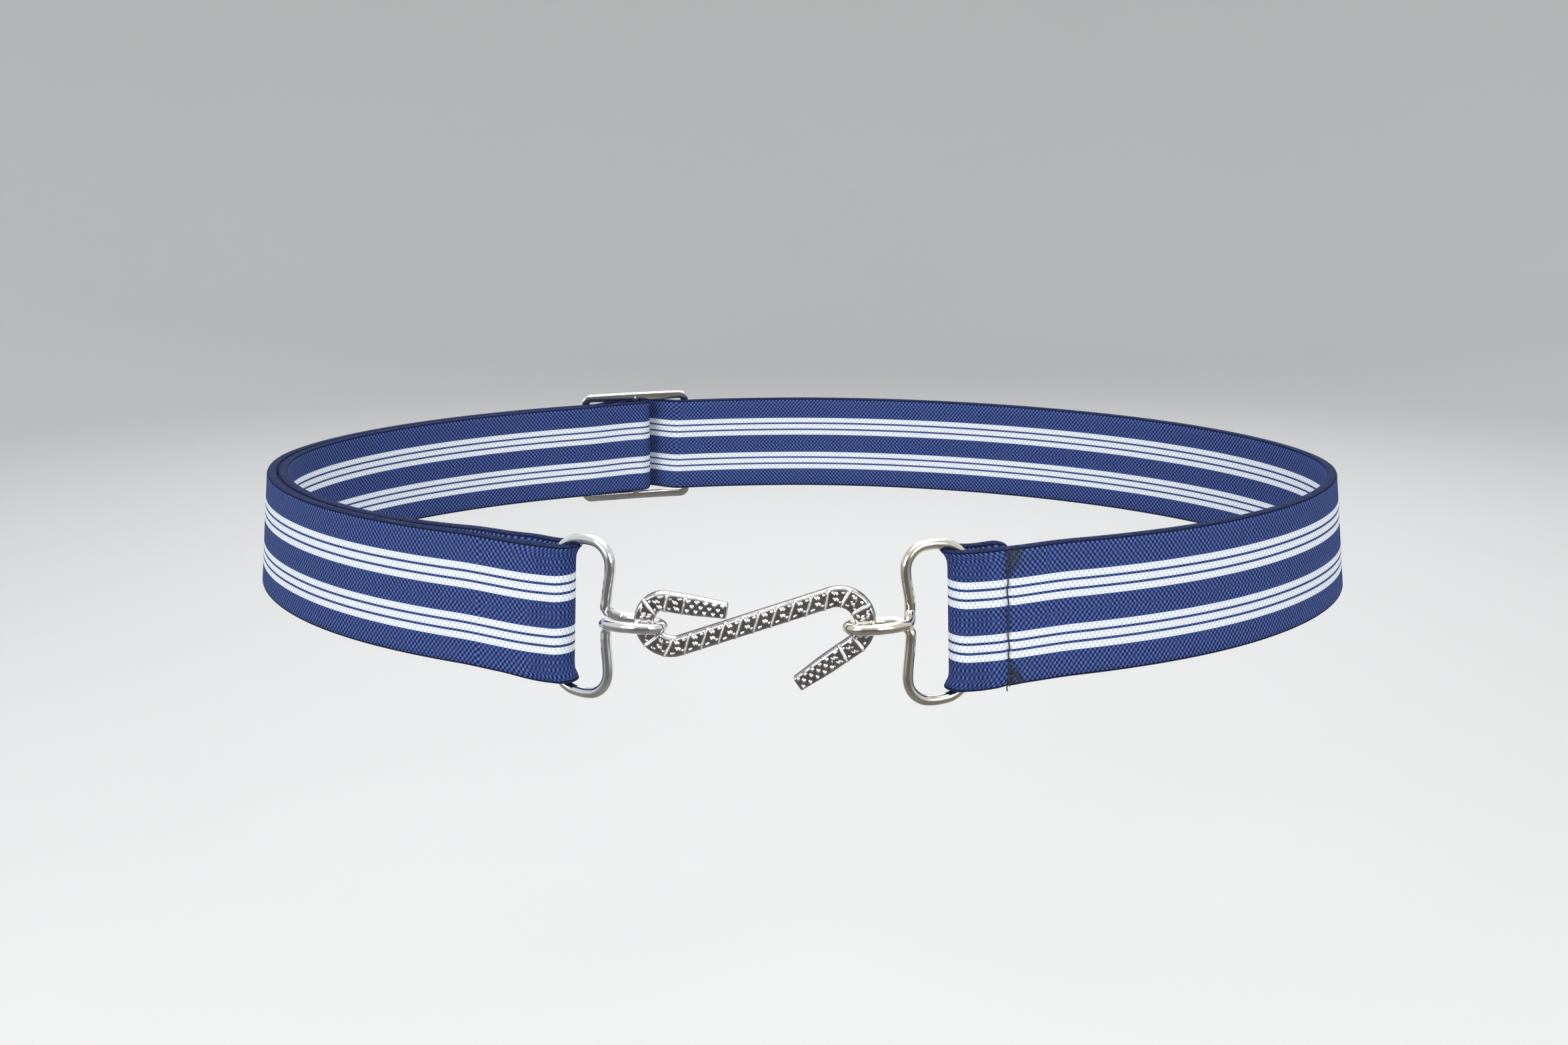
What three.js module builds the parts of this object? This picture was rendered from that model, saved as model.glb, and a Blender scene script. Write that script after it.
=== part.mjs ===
// An elastic snake belt as it is worn: one long striped strap, a wire loop at each end,
// an S-shaped snake hook between the loops, and a slide at the back that sets the length.
// Millimetres, +Z up, +X to the wearer's left hand, the front at -Y.
// The origin is the middle of the waist, halfway up the strap.

import * as THREE from 'three';

// Waist that the strap goes round, measured on the strap's outer face at half height
const waistHalfWidth = 146;
const waistHalfDepth = 101;
const waistRoundness = 1.87;
const flareAngle = 6.8;

// Strap
const strapWidth = 30;
const strapThickness = 2.6;
const selvedgeRadius = 0.9;
const seamDistance = 11;
const pinchLength = 14;
const earFade = 12;
const strapRise = 0.45;
const riseFade = 75;
const foldDrop = 0.9;
const dropFade = 22;
const backLayerRise = 0.8;
const backLayerFade = 50;
const backLayerStart = 8;

// Gap kept between pieces, and between two layers of the strap
const clearance = 0.3;

// Wire loops
const wireDiameter = 2.4;
const loopHeight = 37;
const loopWidth = 16.2;
const loopDrop = 0.9;
const loopCornerHeight = 5.3;
const barCornerWidth = 6.6;
const sideCornerWidth = 5.6;
const sideDip = 0.2;
const eyeLength = 14.4;
const eyeDepth = 9;
const eyeRise = 0.6;
const eyeLead = 2.2;
const eyeTwist = 0.5;

// Snake hook
const hookOffset = -1.9;
const hookLevel = 0.5;
const hookSpan = 37.1;
const hookTilt = 1.5;
const leftBendRadius = 5.05;
const rightBendRadius = 5.8;
const armSlope = 8;
const armLength = 12.4;
const tailSlope = 35.4;
const tailLength = 15;
const hookWidth = 4.15;
const bendSwell = 0.55;
const swellFade = 10;
const hookThickness = 3.2;
const tipWidth = 3.4;
const tipThickness = 2.7;
const tipTaper = 9;
const ribPitch = 4;
const ribHeight = 0.25;
const ribSlant = 0.35;

// Slide at the back
const slideFromBack = 60;
const slideBarWidth = 2.6;
const slidePlateThickness = 1.8;
const slideBarSpacing = 16.5;
const slideCornerRadius = 3;
const slideSideRoom = 0.8;
const tailEndReach = 6;

// Fineness of the faceted surfaces
const strapStep = 11;
const turnSteps = 8;
const rampSteps = 5;
const slideSteps = 24;
const wireSides = 9;
const wireSteps = 96;
const hookSides = 12;
const ringsPerRib = 4;

// Sizes that follow from the ones above
const layerPitch = strapThickness + clearance;
const wireRadius = wireDiameter / 2;
const turnRadius = wireRadius + clearance + strapThickness / 2;
const barDepth = -(turnRadius + strapThickness / 2);
const outerLayer = -strapThickness / 2;
const innerLayer = outerLayer - layerPitch;
const flare = Math.tan(THREE.MathUtils.degToRad(flareAngle));
const loopInnerReach = loopWidth - wireDiameter;
const loopHalfHeight = (loopHeight - wireDiameter) / 2;
const straightHalf = loopHalfHeight - loopCornerHeight;
const eyeStart = loopInnerReach - sideDip;
const loopReach = eyeStart + eyeLength;

// Materials
const webbing = new THREE.MeshStandardMaterial({ color: 0x24367c, roughness: 0.85, metalness: 0 });
const nickelWire = new THREE.MeshStandardMaterial({ color: 0xc9c4b8, roughness: 0.2, metalness: 1 });
const castSilver = new THREE.MeshStandardMaterial({ color: 0xb9bbbf, roughness: 0.25, metalness: 1 });

// The waist line is a superellipse, walked by its length from the middle of the front,
// round the -X side and the back, and along the +X side to the front again.
function makeWaistLine() {
  const count = 2880;
  const points = [];
  const lengths = [0];
  for (let i = 0; i <= count; i += 1) {
    const angle = -Math.PI / 2 - (i / count) * 2 * Math.PI;
    const c = Math.cos(angle);
    const s = Math.sin(angle);
    const share = Math.abs(c / waistHalfWidth) ** waistRoundness + Math.abs(s / waistHalfDepth) ** waistRoundness;
    const radius = share ** (-1 / waistRoundness);
    points.push(new THREE.Vector2(radius * c, radius * s));
    if (i > 0) {
      lengths.push(lengths[i - 1] + points[i].distanceTo(points[i - 1]));
    }
  }
  return { points, lengths, total: lengths[count] };
}

const waistLine = makeWaistLine();

// The place u millimetres along the waist line, with the way outwards there
function waistAt(u) {
  const { points, lengths, total } = waistLine;
  const wanted = THREE.MathUtils.euclideanModulo(u, total);
  let low = 0;
  let high = lengths.length - 1;
  while (high - low > 1) {
    const middle = Math.floor((low + high) / 2);
    if (lengths[middle] <= wanted) {
      low = middle;
    } else {
      high = middle;
    }
  }
  const share = (wanted - lengths[low]) / (lengths[high] - lengths[low]);
  const place = points[low].clone().lerp(points[high], share);
  const along = points[high].clone().sub(points[low]).normalize();
  const outwards = new THREE.Vector2(-along.y, along.x);
  return { place, outwards };
}

// A point of the belt: u along the waist line, depth outwards from the strap's outer face,
// and height above the middle of the strap. The waist widens downwards.
function beltPoint(u, depth, height) {
  const { place, outwards } = waistAt(u);
  const flat = place.addScaledVector(outwards, depth - height * flare);
  return new THREE.Vector3(flat.x, flat.y, height);
}

// Closed skin over a row of rings with equally many points, with a fan on each end
function skin(rings) {
  const sides = rings[0].length;
  const positions = [];
  const index = [];
  for (const ring of rings) {
    for (const point of ring) {
      positions.push(point.x, point.y, point.z);
    }
  }
  for (let i = 0; i + 1 < rings.length; i += 1) {
    for (let k = 0; k < sides; k += 1) {
      const a = i * sides + k;
      const b = i * sides + ((k + 1) % sides);
      index.push(a, b, b + sides, a, b + sides, a + sides);
    }
  }
  const addCap = (ring, first, turned) => {
    const centre = ring.reduce((sum, point) => sum.add(point), new THREE.Vector3()).divideScalar(sides);
    const middle = positions.length / 3;
    positions.push(centre.x, centre.y, centre.z);
    for (let k = 0; k < sides; k += 1) {
      const a = first + k;
      const b = first + ((k + 1) % sides);
      index.push(middle, turned ? a : b, turned ? b : a);
    }
  };
  addCap(rings[0], 0, false);
  addCap(rings[rings.length - 1], (rings.length - 1) * sides, true);
  const geometry = new THREE.BufferGeometry();
  geometry.setAttribute('position', new THREE.Float32BufferAttribute(positions, 3));
  geometry.setIndex(index);
  geometry.computeVertexNormals();
  return geometry;
}

const rise = (t) => THREE.MathUtils.smoothstep(t, 0, 1);
const lerp = THREE.MathUtils.lerp;

// The plane that the hook lies in touches the front of the waist line and leans with the strap
function hookPlanePoint(x, level) {
  return new THREE.Vector3(x, -waistHalfDepth + level * flare, level);
}

// Centres of the hook's two bends, in the hook plane: x and level
const tilt = THREE.MathUtils.degToRad(hookTilt);
const halfSpan = new THREE.Vector2(Math.cos(tilt), Math.sin(tilt)).multiplyScalar(hookSpan / 2);
const hookMiddle = new THREE.Vector2(hookOffset, hookLevel);
const leftBend = hookMiddle.clone().sub(halfSpan);
const rightBend = hookMiddle.clone().add(halfSpan);

// Where each bend of the hook goes down through its loop's eye. The far wire of the eye lies
// just inside the bend.
const eyeLevel = eyeRise - loopDrop;
const bendWidth = hookWidth + bendSwell;
const hookReach = loopReach - (bendWidth / 2 + clearance + wireRadius);
const leftCrossing = hookPlanePoint(leftBend.x - leftBendRadius, eyeLevel);
const rightCrossing = hookPlanePoint(rightBend.x + rightBendRadius, eyeLevel);

// A loop's bar lies in the strap's fold. The bar's place along the waist line is found by
// halving, so that the loop just reaches from the bar to where the hook crosses its eye.
function loopFrame(u, crossing) {
  const bar = beltPoint(u, barDepth, -loopDrop);
  const up = beltPoint(u, barDepth, strapWidth).sub(beltPoint(u, barDepth, -strapWidth)).normalize();
  const reach = crossing.clone().sub(bar);
  reach.addScaledVector(up, -reach.dot(up));
  return { bar, up, reach };
}

function barPlace(crossing, side) {
  let near = 0;
  let far = waistLine.total / 4;
  for (let i = 0; i < 40; i += 1) {
    const middle = (near + far) / 2;
    const { reach } = loopFrame(side * middle, crossing);
    if (reach.length() < hookReach) {
      near = middle;
    } else {
      far = middle;
    }
  }
  return side * near;
}

const leftBar = barPlace(leftCrossing, 1);
const rightBar = waistLine.total + barPlace(rightCrossing, -1);
const slidePlace = waistLine.total / 2 - slideFromBack;

// Strap

// How far the loop's round corner pushes the fold towards the clasp, at a height from the
// loop's middle: the corner is a quarter of an ellipse, and a slanting wire takes more room
function earShift(height) {
  const sine = THREE.MathUtils.clamp((Math.abs(height) - straightHalf) / loopCornerHeight, 0, 0.95);
  const cosine = Math.sqrt(1 - sine ** 2);
  const wireShift = barCornerWidth * (1 - cosine);
  const slope = (barCornerWidth * sine) / (loopCornerHeight * cosine);
  const slantRoom = (wireRadius + clearance) * (Math.hypot(1, slope) - 1);
  return wireShift + slantRoom;
}

// Height of the strap's plate above its own face where it rises over the slide's bars
const plateBottom = clearance;
const plateMiddle = plateBottom + slidePlateThickness / 2;
const wrapRadius = Math.hypot(slidePlateThickness / 2, clearance) + clearance + strapThickness / 2;
const overWrap = plateMiddle + wrapRadius + layerPitch;
const humpTop = slideBarWidth;
const humpHalf = slideBarSpacing - slideBarWidth / 2 - clearance;

// Depth of the strap that runs through the slide, s along the strap from the slide's middle
function throughDepth(s) {
  const share = THREE.MathUtils.clamp((Math.abs(s) - humpTop) / (humpHalf - humpTop), 0, 1);
  return outerLayer + (overWrap - outerLayer) * (0.5 + 0.5 * Math.cos(Math.PI * share));
}

// The strap's middle line as points of u and depth, from the sewn end behind the right fold
// to the end that is wrapped round the middle bar of the slide
function strapLine() {
  const line = [];
  const add = (u, depth) => line.push(new THREE.Vector2(u, depth));
  const foldInner = barDepth - turnRadius;

  for (let i = 0; i <= rampSteps; i += 1) {
    const share = i / (rampSteps + 1);
    add(rightBar - seamDistance * (1 - share), lerp(innerLayer, foldInner, rise(share)));
  }
  for (let i = 0; i <= turnSteps; i += 1) {
    const angle = Math.PI * (1 - i / turnSteps);
    add(rightBar + turnRadius * Math.sin(angle), barDepth + turnRadius * Math.cos(angle));
  }

  const stretch = (from, to, depth) => {
    const steps = Math.ceil(Math.abs(to - from) / strapStep);
    for (let i = 1; i < steps; i += 1) {
      add(lerp(from, to, i / steps), depth);
    }
  };
  const slideEnd = slideBarSpacing + slideBarWidth;
  stretch(rightBar, slidePlace + slideEnd, outerLayer);
  for (let i = 0; i <= slideSteps; i += 1) {
    const s = lerp(slideEnd, -slideEnd, i / slideSteps);
    add(slidePlace + s, throughDepth(s));
  }
  stretch(slidePlace - slideEnd, leftBar, outerLayer);

  for (let i = 0; i <= turnSteps; i += 1) {
    const angle = Math.PI * (i / turnSteps);
    add(leftBar - turnRadius * Math.sin(angle), barDepth + turnRadius * Math.cos(angle));
  }
  for (let i = 1; i <= rampSteps; i += 1) {
    const share = i / rampSteps;
    add(leftBar + pinchLength * share, lerp(foldInner, innerLayer, rise(share)));
  }

  const wrapStart = slidePlace - slideEnd;
  const underBar = plateMiddle - wrapRadius;
  const barEnd = slidePlace + slideBarWidth / 2 - clearance;
  stretch(leftBar + pinchLength, wrapStart, innerLayer);
  for (let i = 0; i <= rampSteps; i += 1) {
    const share = i / rampSteps;
    add(lerp(wrapStart, barEnd, share), lerp(innerLayer, underBar, rise(share)));
  }
  for (let i = 1; i < turnSteps; i += 1) {
    const angle = Math.PI * (1 - i / turnSteps);
    add(barEnd + wrapRadius * Math.sin(angle), plateMiddle + wrapRadius * Math.cos(angle));
  }
  for (let i = 0; i <= rampSteps; i += 1) {
    const s = lerp(barEnd - slidePlace, -tailEndReach, i / rampSteps);
    const slope = (throughDepth(s + 0.01) - throughDepth(s - 0.01)) / 0.02;
    const length = Math.hypot(1, slope);
    add(slidePlace + s + (layerPitch * slope) / length, throughDepth(s) - layerPitch / length);
  }
  return line;
}

// The strap's section as pairs: height, and place through the thickness
function strapSection() {
  const half = strapWidth / 2;
  const face = strapThickness / 2;
  const rounded = Math.min(selvedgeRadius, face);
  const flatHeights = [half - rounded, (half + straightHalf) / 2, straightHalf];
  const heights = [...flatHeights, ...flatHeights.map((h) => -h).reverse()];
  const outer = heights.map((h) => [h, face]);
  const inner = heights.map((h) => [-h, -face]);
  const low = [[-half, face - rounded * 0.6], [-half, rounded * 0.6 - face]];
  const high = [[half, rounded * 0.6 - face], [half, face - rounded * 0.6]];
  return [...outer, ...low, ...inner, ...high];
}

// How near a place is to either fold: 1 at the fold, 0 once it is the fade length away
function nearFold(u, fade) {
  const gap = Math.min(Math.abs(u - leftBar), Math.abs(u - rightBar));
  return 1 - rise(Math.max(gap - turnRadius, 0) / fade);
}

// How far the strap rides above the middle of the waist: it rises a little towards the clasp,
// sinks into the loop, and the layer behind stands higher than the one in front
function strapLift(u, depth) {
  const behind = THREE.MathUtils.clamp((outerLayer - depth) / layerPitch, 0, 1);
  const front = strapRise * nearFold(u, riseFade) - foldDrop * nearFold(u, dropFade);
  const pastFold = nearFold(u, backLayerFade) - nearFold(u, backLayerStart);
  return front + backLayerRise * pastFold * behind;
}

function strapGeometry() {
  const line = strapLine();
  const section = strapSection();
  const rings = line.map((point, i) => {
    const before = line[Math.max(i - 1, 0)];
    const after = line[Math.min(i + 1, line.length - 1)];
    const along = after.clone().sub(before).normalize();
    const through = new THREE.Vector2(along.y, -along.x);
    const claspWay = point.x < slidePlace ? -1 : 1;
    const ear = nearFold(point.x, earFade);
    const lift = strapLift(point.x, point.y);
    return section.map(([across, offset]) => {
      const height = across + lift;
      const u = point.x + through.x * offset + claspWay * ear * earShift(height + loopDrop);
      return beltPoint(u, point.y + through.y * offset, height);
    });
  });
  return skin(rings);
}

// Wire loops

// The loop's wire from the middle of its bar: along X to the end of the eye, Y across, Z up.
// An oval frame with elliptic corners, whose far side turns once round a level eye on its
// way down.
function loopWire() {
  const points = [];
  const add = (x, y, z) => points.push(new THREE.Vector3(x, y, z));
  const cornerSteps = 4;
  const eyeSteps = 10;
  const firstTurn = THREE.MathUtils.degToRad(40);
  const eyeHalf = eyeLength / 2;
  const eyeMiddle = eyeStart + eyeHalf;

  const addCorner = (x, z, width, height, from, to) => {
    for (let i = 0; i <= cornerSteps; i += 1) {
      const angle = lerp(from, to, i / cornerSteps) * Math.PI;
      add(x + width * Math.cos(angle), 0, z + height * Math.sin(angle));
    }
  };
  const barCorner = barCornerWidth;
  const sideCorner = loopInnerReach - sideCornerWidth;

  add(0, 0, 0);
  addCorner(barCorner, straightHalf, barCornerWidth, loopCornerHeight, 1, 0.5);
  addCorner(sideCorner, straightHalf, sideCornerWidth, loopCornerHeight, 0.5, 0);
  add(eyeStart, 0, eyeRise + eyeLead + wireDiameter);
  add(eyeStart, 0, eyeRise + eyeLead);
  for (let i = 0; i <= eyeSteps; i += 1) {
    const angle = lerp(firstTurn, 2 * Math.PI - firstTurn, i / eyeSteps);
    const twist = eyeTwist * Math.sign(Math.cos(angle / 2)) * Math.abs(Math.cos(angle / 2)) ** 5;
    add(eyeMiddle - eyeHalf * Math.cos(angle), (eyeDepth / 2) * Math.sin(angle), eyeRise + twist);
  }
  add(eyeStart, 0, eyeRise - eyeLead);
  add(eyeStart, 0, eyeRise - eyeLead - wireDiameter);
  addCorner(sideCorner, -straightHalf, sideCornerWidth, loopCornerHeight, 0, -0.5);
  addCorner(barCorner, -straightHalf, barCornerWidth, loopCornerHeight, -0.5, -1);
  return new THREE.CatmullRomCurve3(points, true, 'centripetal');
}

const loopGeometry = new THREE.TubeGeometry(loopWire(), wireSteps, wireRadius, wireSides, true);

function loopMesh(name, u, crossing) {
  const mesh = new THREE.Mesh(loopGeometry, nickelWire);
  mesh.name = name;
  const { bar, up, reach } = loopFrame(u, crossing);
  const forward = reach.normalize();
  const across = new THREE.Vector3().crossVectors(up, forward);
  mesh.quaternion.setFromRotationMatrix(new THREE.Matrix4().makeBasis(forward, across, up));
  mesh.position.copy(bar);
  return mesh;
}

// Snake hook

// The hook's middle line in its plane, from the tip of the closed arm to the tip of the tail:
// arm, left bend, body, right bend and tail, each tangent to the next
function hookLine() {
  const { degToRad } = THREE.MathUtils;
  const bodyHeading = tilt + Math.asin((leftBendRadius + rightBendRadius) / hookSpan);
  const bodyLength = Math.sqrt(hookSpan ** 2 - (leftBendRadius + rightBendRadius) ** 2);
  const armHeading = Math.PI - degToRad(armSlope);
  const tailHeading = -Math.PI + degToRad(tailSlope);
  const parts = [
    { length: armLength, turn: 0 },
    { length: leftBendRadius * (2 * Math.PI + bodyHeading - armHeading), turn: 1 / leftBendRadius },
    { length: bodyLength, turn: 0 },
    { length: rightBendRadius * (bodyHeading - tailHeading), turn: -1 / rightBendRadius },
    { length: tailLength, turn: 0 },
  ];
  const sideways = new THREE.Vector2(Math.sin(armHeading), -Math.cos(armHeading));
  const start = leftBend.clone().addScaledVector(sideways, leftBendRadius);
  start.addScaledVector(new THREE.Vector2(Math.cos(armHeading), Math.sin(armHeading)), -armLength);
  const total = parts.reduce((sum, part) => sum + part.length, 0);

  const at = (distance) => {
    const place = start.clone();
    let heading = armHeading;
    let left = distance;
    for (const part of parts) {
      const step = Math.min(left, part.length);
      if (part.turn === 0) {
        place.addScaledVector(new THREE.Vector2(Math.cos(heading), Math.sin(heading)), step);
      } else {
        const next = heading + part.turn * step;
        place.x += (Math.sin(next) - Math.sin(heading)) / part.turn;
        place.y += (Math.cos(heading) - Math.cos(next)) / part.turn;
        heading = next;
      }
      left -= step;
    }
    return { place, along: new THREE.Vector2(Math.cos(heading), Math.sin(heading)) };
  };
  const leftBendMiddle = parts[0].length + parts[1].length / 2;
  const rightBendMiddle = total - parts[4].length - parts[3].length / 2;
  const swell = (distance) => {
    const fromBend = Math.min(Math.abs(distance - leftBendMiddle), Math.abs(distance - rightBendMiddle));
    return bendSwell * (1 - rise(fromBend / swellFade));
  };
  return { total, at, swell };
}

// Slanted ribs raised round the hook, every rib pitch, with narrower plain tips
function hookGeometry() {
  const line = hookLine();
  const ribs = Math.round(line.total / ribPitch);
  const count = ribs * ringsPerRib;
  const rings = [];
  for (let i = 0; i <= count; i += 1) {
    const distance = (line.total * i) / count;
    const fromTip = Math.min(distance, line.total - distance);
    const full = rise(fromTip / tipTaper);
    const ribbed = Math.min(fromTip / ribPitch, 1);
    const raised = ribHeight * ribbed * Math.max(Math.cos((2 * Math.PI * i) / ringsPerRib), 0);
    const halfWidth = (lerp(tipWidth, hookWidth, full) + line.swell(distance)) / 2 - ribHeight + raised;
    const halfThickness = lerp(tipThickness, hookThickness, full) / 2 - ribHeight + raised;
    const ring = [];
    for (let k = 0; k < hookSides; k += 1) {
      const angle = (2 * Math.PI * (k + 0.5)) / hookSides;
      const across = halfWidth * Math.cos(angle);
      const shifted = THREE.MathUtils.clamp(distance + ribSlant * ribbed * across, 0, line.total);
      const { place, along } = line.at(shifted);
      const x = place.x - along.y * across;
      const level = place.y + along.x * across;
      const point = hookPlanePoint(x, level);
      point.y -= halfThickness * Math.sin(angle);
      ring.push(point);
    }
    rings.push(ring);
  }
  return skin(rings);
}

// Slide

function roundedRectangle(path, x0, y0, x1, y1, radius) {
  path.moveTo(x0 + radius, y0);
  path.lineTo(x1 - radius, y0);
  path.absarc(x1 - radius, y0 + radius, radius, -Math.PI / 2, 0, false);
  path.lineTo(x1, y1 - radius);
  path.absarc(x1 - radius, y1 - radius, radius, 0, Math.PI / 2, false);
  path.lineTo(x0 + radius, y1);
  path.absarc(x0 + radius, y1 - radius, radius, Math.PI / 2, Math.PI, false);
  path.lineTo(x0, y0 + radius);
  path.absarc(x0 + radius, y0 + radius, radius, Math.PI, 1.5 * Math.PI, false);
  return path;
}

// A plate with two windows and a bar between them, bent to the waist line
function slideGeometry() {
  const halfBar = slideBarWidth / 2;
  const halfLength = slideBarSpacing + halfBar;
  const windowHalf = strapWidth / 2 + slideSideRoom;
  const halfHeight = windowHalf + slideBarWidth;
  const windowRadius = Math.min(slideCornerRadius / 3, slideSideRoom);
  const outline = roundedRectangle(new THREE.Shape(), -halfLength, -halfHeight, halfLength, halfHeight, slideCornerRadius);
  for (const side of [-1, 1]) {
    const edges = [side * halfBar, side * (slideBarSpacing - halfBar)].sort((a, b) => a - b);
    const hole = roundedRectangle(new THREE.Path(), edges[0], -windowHalf, edges[1], windowHalf, windowRadius);
    outline.holes.push(hole);
  }
  const settings = { depth: slidePlateThickness, bevelEnabled: false, curveSegments: 4 };
  const geometry = new THREE.ExtrudeGeometry(outline, settings);
  const position = geometry.attributes.position;
  const point = new THREE.Vector3();
  for (let i = 0; i < position.count; i += 1) {
    point.fromBufferAttribute(position, i);
    const bent = beltPoint(slidePlace - point.x, plateBottom + point.z, point.y);
    position.setXYZ(i, bent.x, bent.y, bent.z);
  }
  geometry.computeVertexNormals();
  return geometry;
}

function namedMesh(name, geometry, material) {
  const mesh = new THREE.Mesh(geometry, material);
  mesh.name = name;
  return mesh;
}

const belt = new THREE.Group();
belt.add(namedMesh('elastic_strap', strapGeometry(), webbing));
belt.add(loopMesh('loop_left', leftBar, leftCrossing));
belt.add(loopMesh('loop_right', rightBar, rightCrossing));
belt.add(namedMesh('snake_hook', hookGeometry(), castSilver));
belt.add(namedMesh('back_slide', slideGeometry(), nickelWire));

export default belt;
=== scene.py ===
import math

import bpy
import numpy as np
from mathutils import Matrix, Vector


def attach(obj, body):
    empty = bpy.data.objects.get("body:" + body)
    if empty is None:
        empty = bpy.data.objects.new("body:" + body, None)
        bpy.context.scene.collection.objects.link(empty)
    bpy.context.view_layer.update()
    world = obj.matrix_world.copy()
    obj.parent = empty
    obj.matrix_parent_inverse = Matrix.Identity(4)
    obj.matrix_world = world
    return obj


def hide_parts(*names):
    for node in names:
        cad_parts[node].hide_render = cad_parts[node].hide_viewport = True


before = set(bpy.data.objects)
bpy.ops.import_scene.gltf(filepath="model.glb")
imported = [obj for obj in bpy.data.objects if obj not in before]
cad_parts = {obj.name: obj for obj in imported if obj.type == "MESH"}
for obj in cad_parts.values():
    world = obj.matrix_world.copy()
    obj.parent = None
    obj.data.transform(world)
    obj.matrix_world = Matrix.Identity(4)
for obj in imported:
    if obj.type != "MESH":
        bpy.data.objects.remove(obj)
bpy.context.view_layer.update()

# Sizes in metres, +Z up, the front at -Y, +X to the right as seen from the front

# Waist line on the strap's outer face at half height
WAIST_HALF_WIDTH = 0.146
WAIST_HALF_DEPTH = 0.101
WAIST_ROUNDNESS = 1.87
FLARE = math.tan(math.radians(6.8))

# Strap
STRAP_WIDTH = 0.030
STRAP_THICKNESS = 0.0026
SEAM_DISTANCE = 0.011
PINCH_LENGTH = 0.014
EAR_FADE = 0.012
STRAP_RISE = 0.00045
RISE_FADE = 0.075
FOLD_DROP = 0.0009
DROP_FADE = 0.022
BACK_LAYER_RISE = 0.0008
BACK_LAYER_FADE = 0.050
BACK_LAYER_START = 0.008
CLEARANCE = 0.0003
CUT_CORNER = 0.002
STEEPEST_EAR = 0.95
SEAM_DIMPLE = 0.00035
DIMPLE_WIDTH = 0.0009

# Selvedge: a low bead along each edge, set off from the face by a groove
TOP_GROOVE = 0.0151
BOTTOM_GROOVE = 0.0144
TOP_BEAD = 0.0005
BOTTOM_BEAD = 0.0006
BEAD_SINK = 0.00012
GROOVE_SINK = 0.00026
GROOVE_WIDTH = 0.00024
BEAD_ARC = 0.42 * math.pi

# Weave: rows of beads across the strap, every second row half a pitch along
BEAD_PITCH_MM = 1.17
ROW_PITCH_MM = 0.71
STRIPES_START_MM = 3.07
STRIPE_COUNT = 3
STRIPE_ROWS = 2
STRIPE_PERIOD = 3
BEAD_LEAN = 0.16
WEAVE_RELIEF = 0.00010
FOLD_CROWDING = 0.2
CROWDING_FADE = 0.003
RIB_PITCH_AT_FOLD = 0.00085
RIB_DEPTH_AT_FOLD = 0.00008
RIB_STRENGTH = 0.25
STRIPE_SPREAD = 0.08
CORNER_SPREAD = 0.0006
TOP_EAR_SHARE = 0.8
CORNER_FADE = 0.010
CORNER_START = 0.009

# Wire loops
WIRE_DIAMETER = 0.0024
LOOP_HEIGHT = 0.037
LOOP_WIDTH = 0.0168
LOOP_DROP = 0.0009
LOOP_CORNER_HEIGHT = 0.0053
BAR_CORNER_WIDTH = 0.0066
SIDE_CORNER_WIDTH = 0.0056
SIDE_DIP = 0.0008
EYE_LENGTH = 0.0144
EYE_DEPTH = 0.009
EYE_RISE = 0.0006
LEFT_EYE_SAG = 0.0005
EYE_LEAD = 0.0022
EYE_TWIST = 0.0005
TWIST_FOCUS = 5
EYE_OPENING_DEGREES = 40

# Snake hook; the left bend's mean radius places body and loop, and its line turns in two radii
HOOK_OFFSET = -0.0019
HOOK_LEVEL = 0.0005
HOOK_SPAN = 0.0371
HOOK_TILT = math.radians(1.5)
LEFT_BEND_RADIUS = 0.00505
RIGHT_BEND_RADIUS = 0.0058
ARM_SLOPE = math.radians(8)
ARM_LENGTH = 0.01362
UPPER_BEND_RADIUS = 0.0040
LOWER_BEND_RADIUS = 0.00592
BODY_CUT = 0.0012
TAIL_SLOPE = math.radians(35.4)
TAIL_LENGTH = 0.015
HOOK_WIDTH = 0.00415
BEND_SWELL = 0.00055
SWELL_FADE = 0.010
HOOK_THICKNESS = 0.0032
TIP_WIDTH = 0.0034
TIP_THICKNESS = 0.0027
TIP_TAPER = 0.009
TIP_ROUNDING = 0.0004

# Relief of the hook
DOTTED_LENGTH = 0.0093
RIB_PITCH = 0.0040
RIB_WIDTH = 0.00025
RIB_HEIGHT = 0.00030
RIB_FADE = 0.0004
RIB_LEAN = 0.75
END_LEAN = 0.10
LEAN_FADE = 0.014
MARK_WIDTH = 0.00014
DOT_PITCH = 0.0019
DOT_ROW_PITCH = 0.00105
DOT_RADIUS = 0.00036
DOT_FADE = 0.0005
HOOK_SQUARENESS = 5
# In shares of the half thickness: where relief begins and grows full, where the side wall's painted shade
# ends and fades
RELIEF_START = 0.5
RELIEF_FADE = 0.35
WALL_SHADE_START = 0.2
WALL_SHADE_FADE = 0.4
# Raised marks between two ribs, in mm past the rib and across: two zigzags and three short dashes
ZIGZAG_LEGS = ((0.0, 0.26), (0.40, -0.16), (0.62, 0.18), (1.05, -0.26))
ZIGZAG_PLACES = ((0.95, 0.95), (1.55, -0.35))
DASHES = ((1.0, -1.25, 1.5, -1.15), (2.9, 1.15, 3.15, 1.15), (3.2, -0.95, 3.35, -0.9))

# Slide at the back
SLIDE_FROM_BACK = 0.060
SLIDE_BAR_WIDTH = 0.0026
SLIDE_THICKNESS = 0.0018
SLIDE_BAR_SPACING = 0.0165
SLIDE_CORNER_RADIUS = 0.003
SLIDE_SIDE_ROOM = 0.0008
TAIL_END_REACH = 0.006

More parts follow.
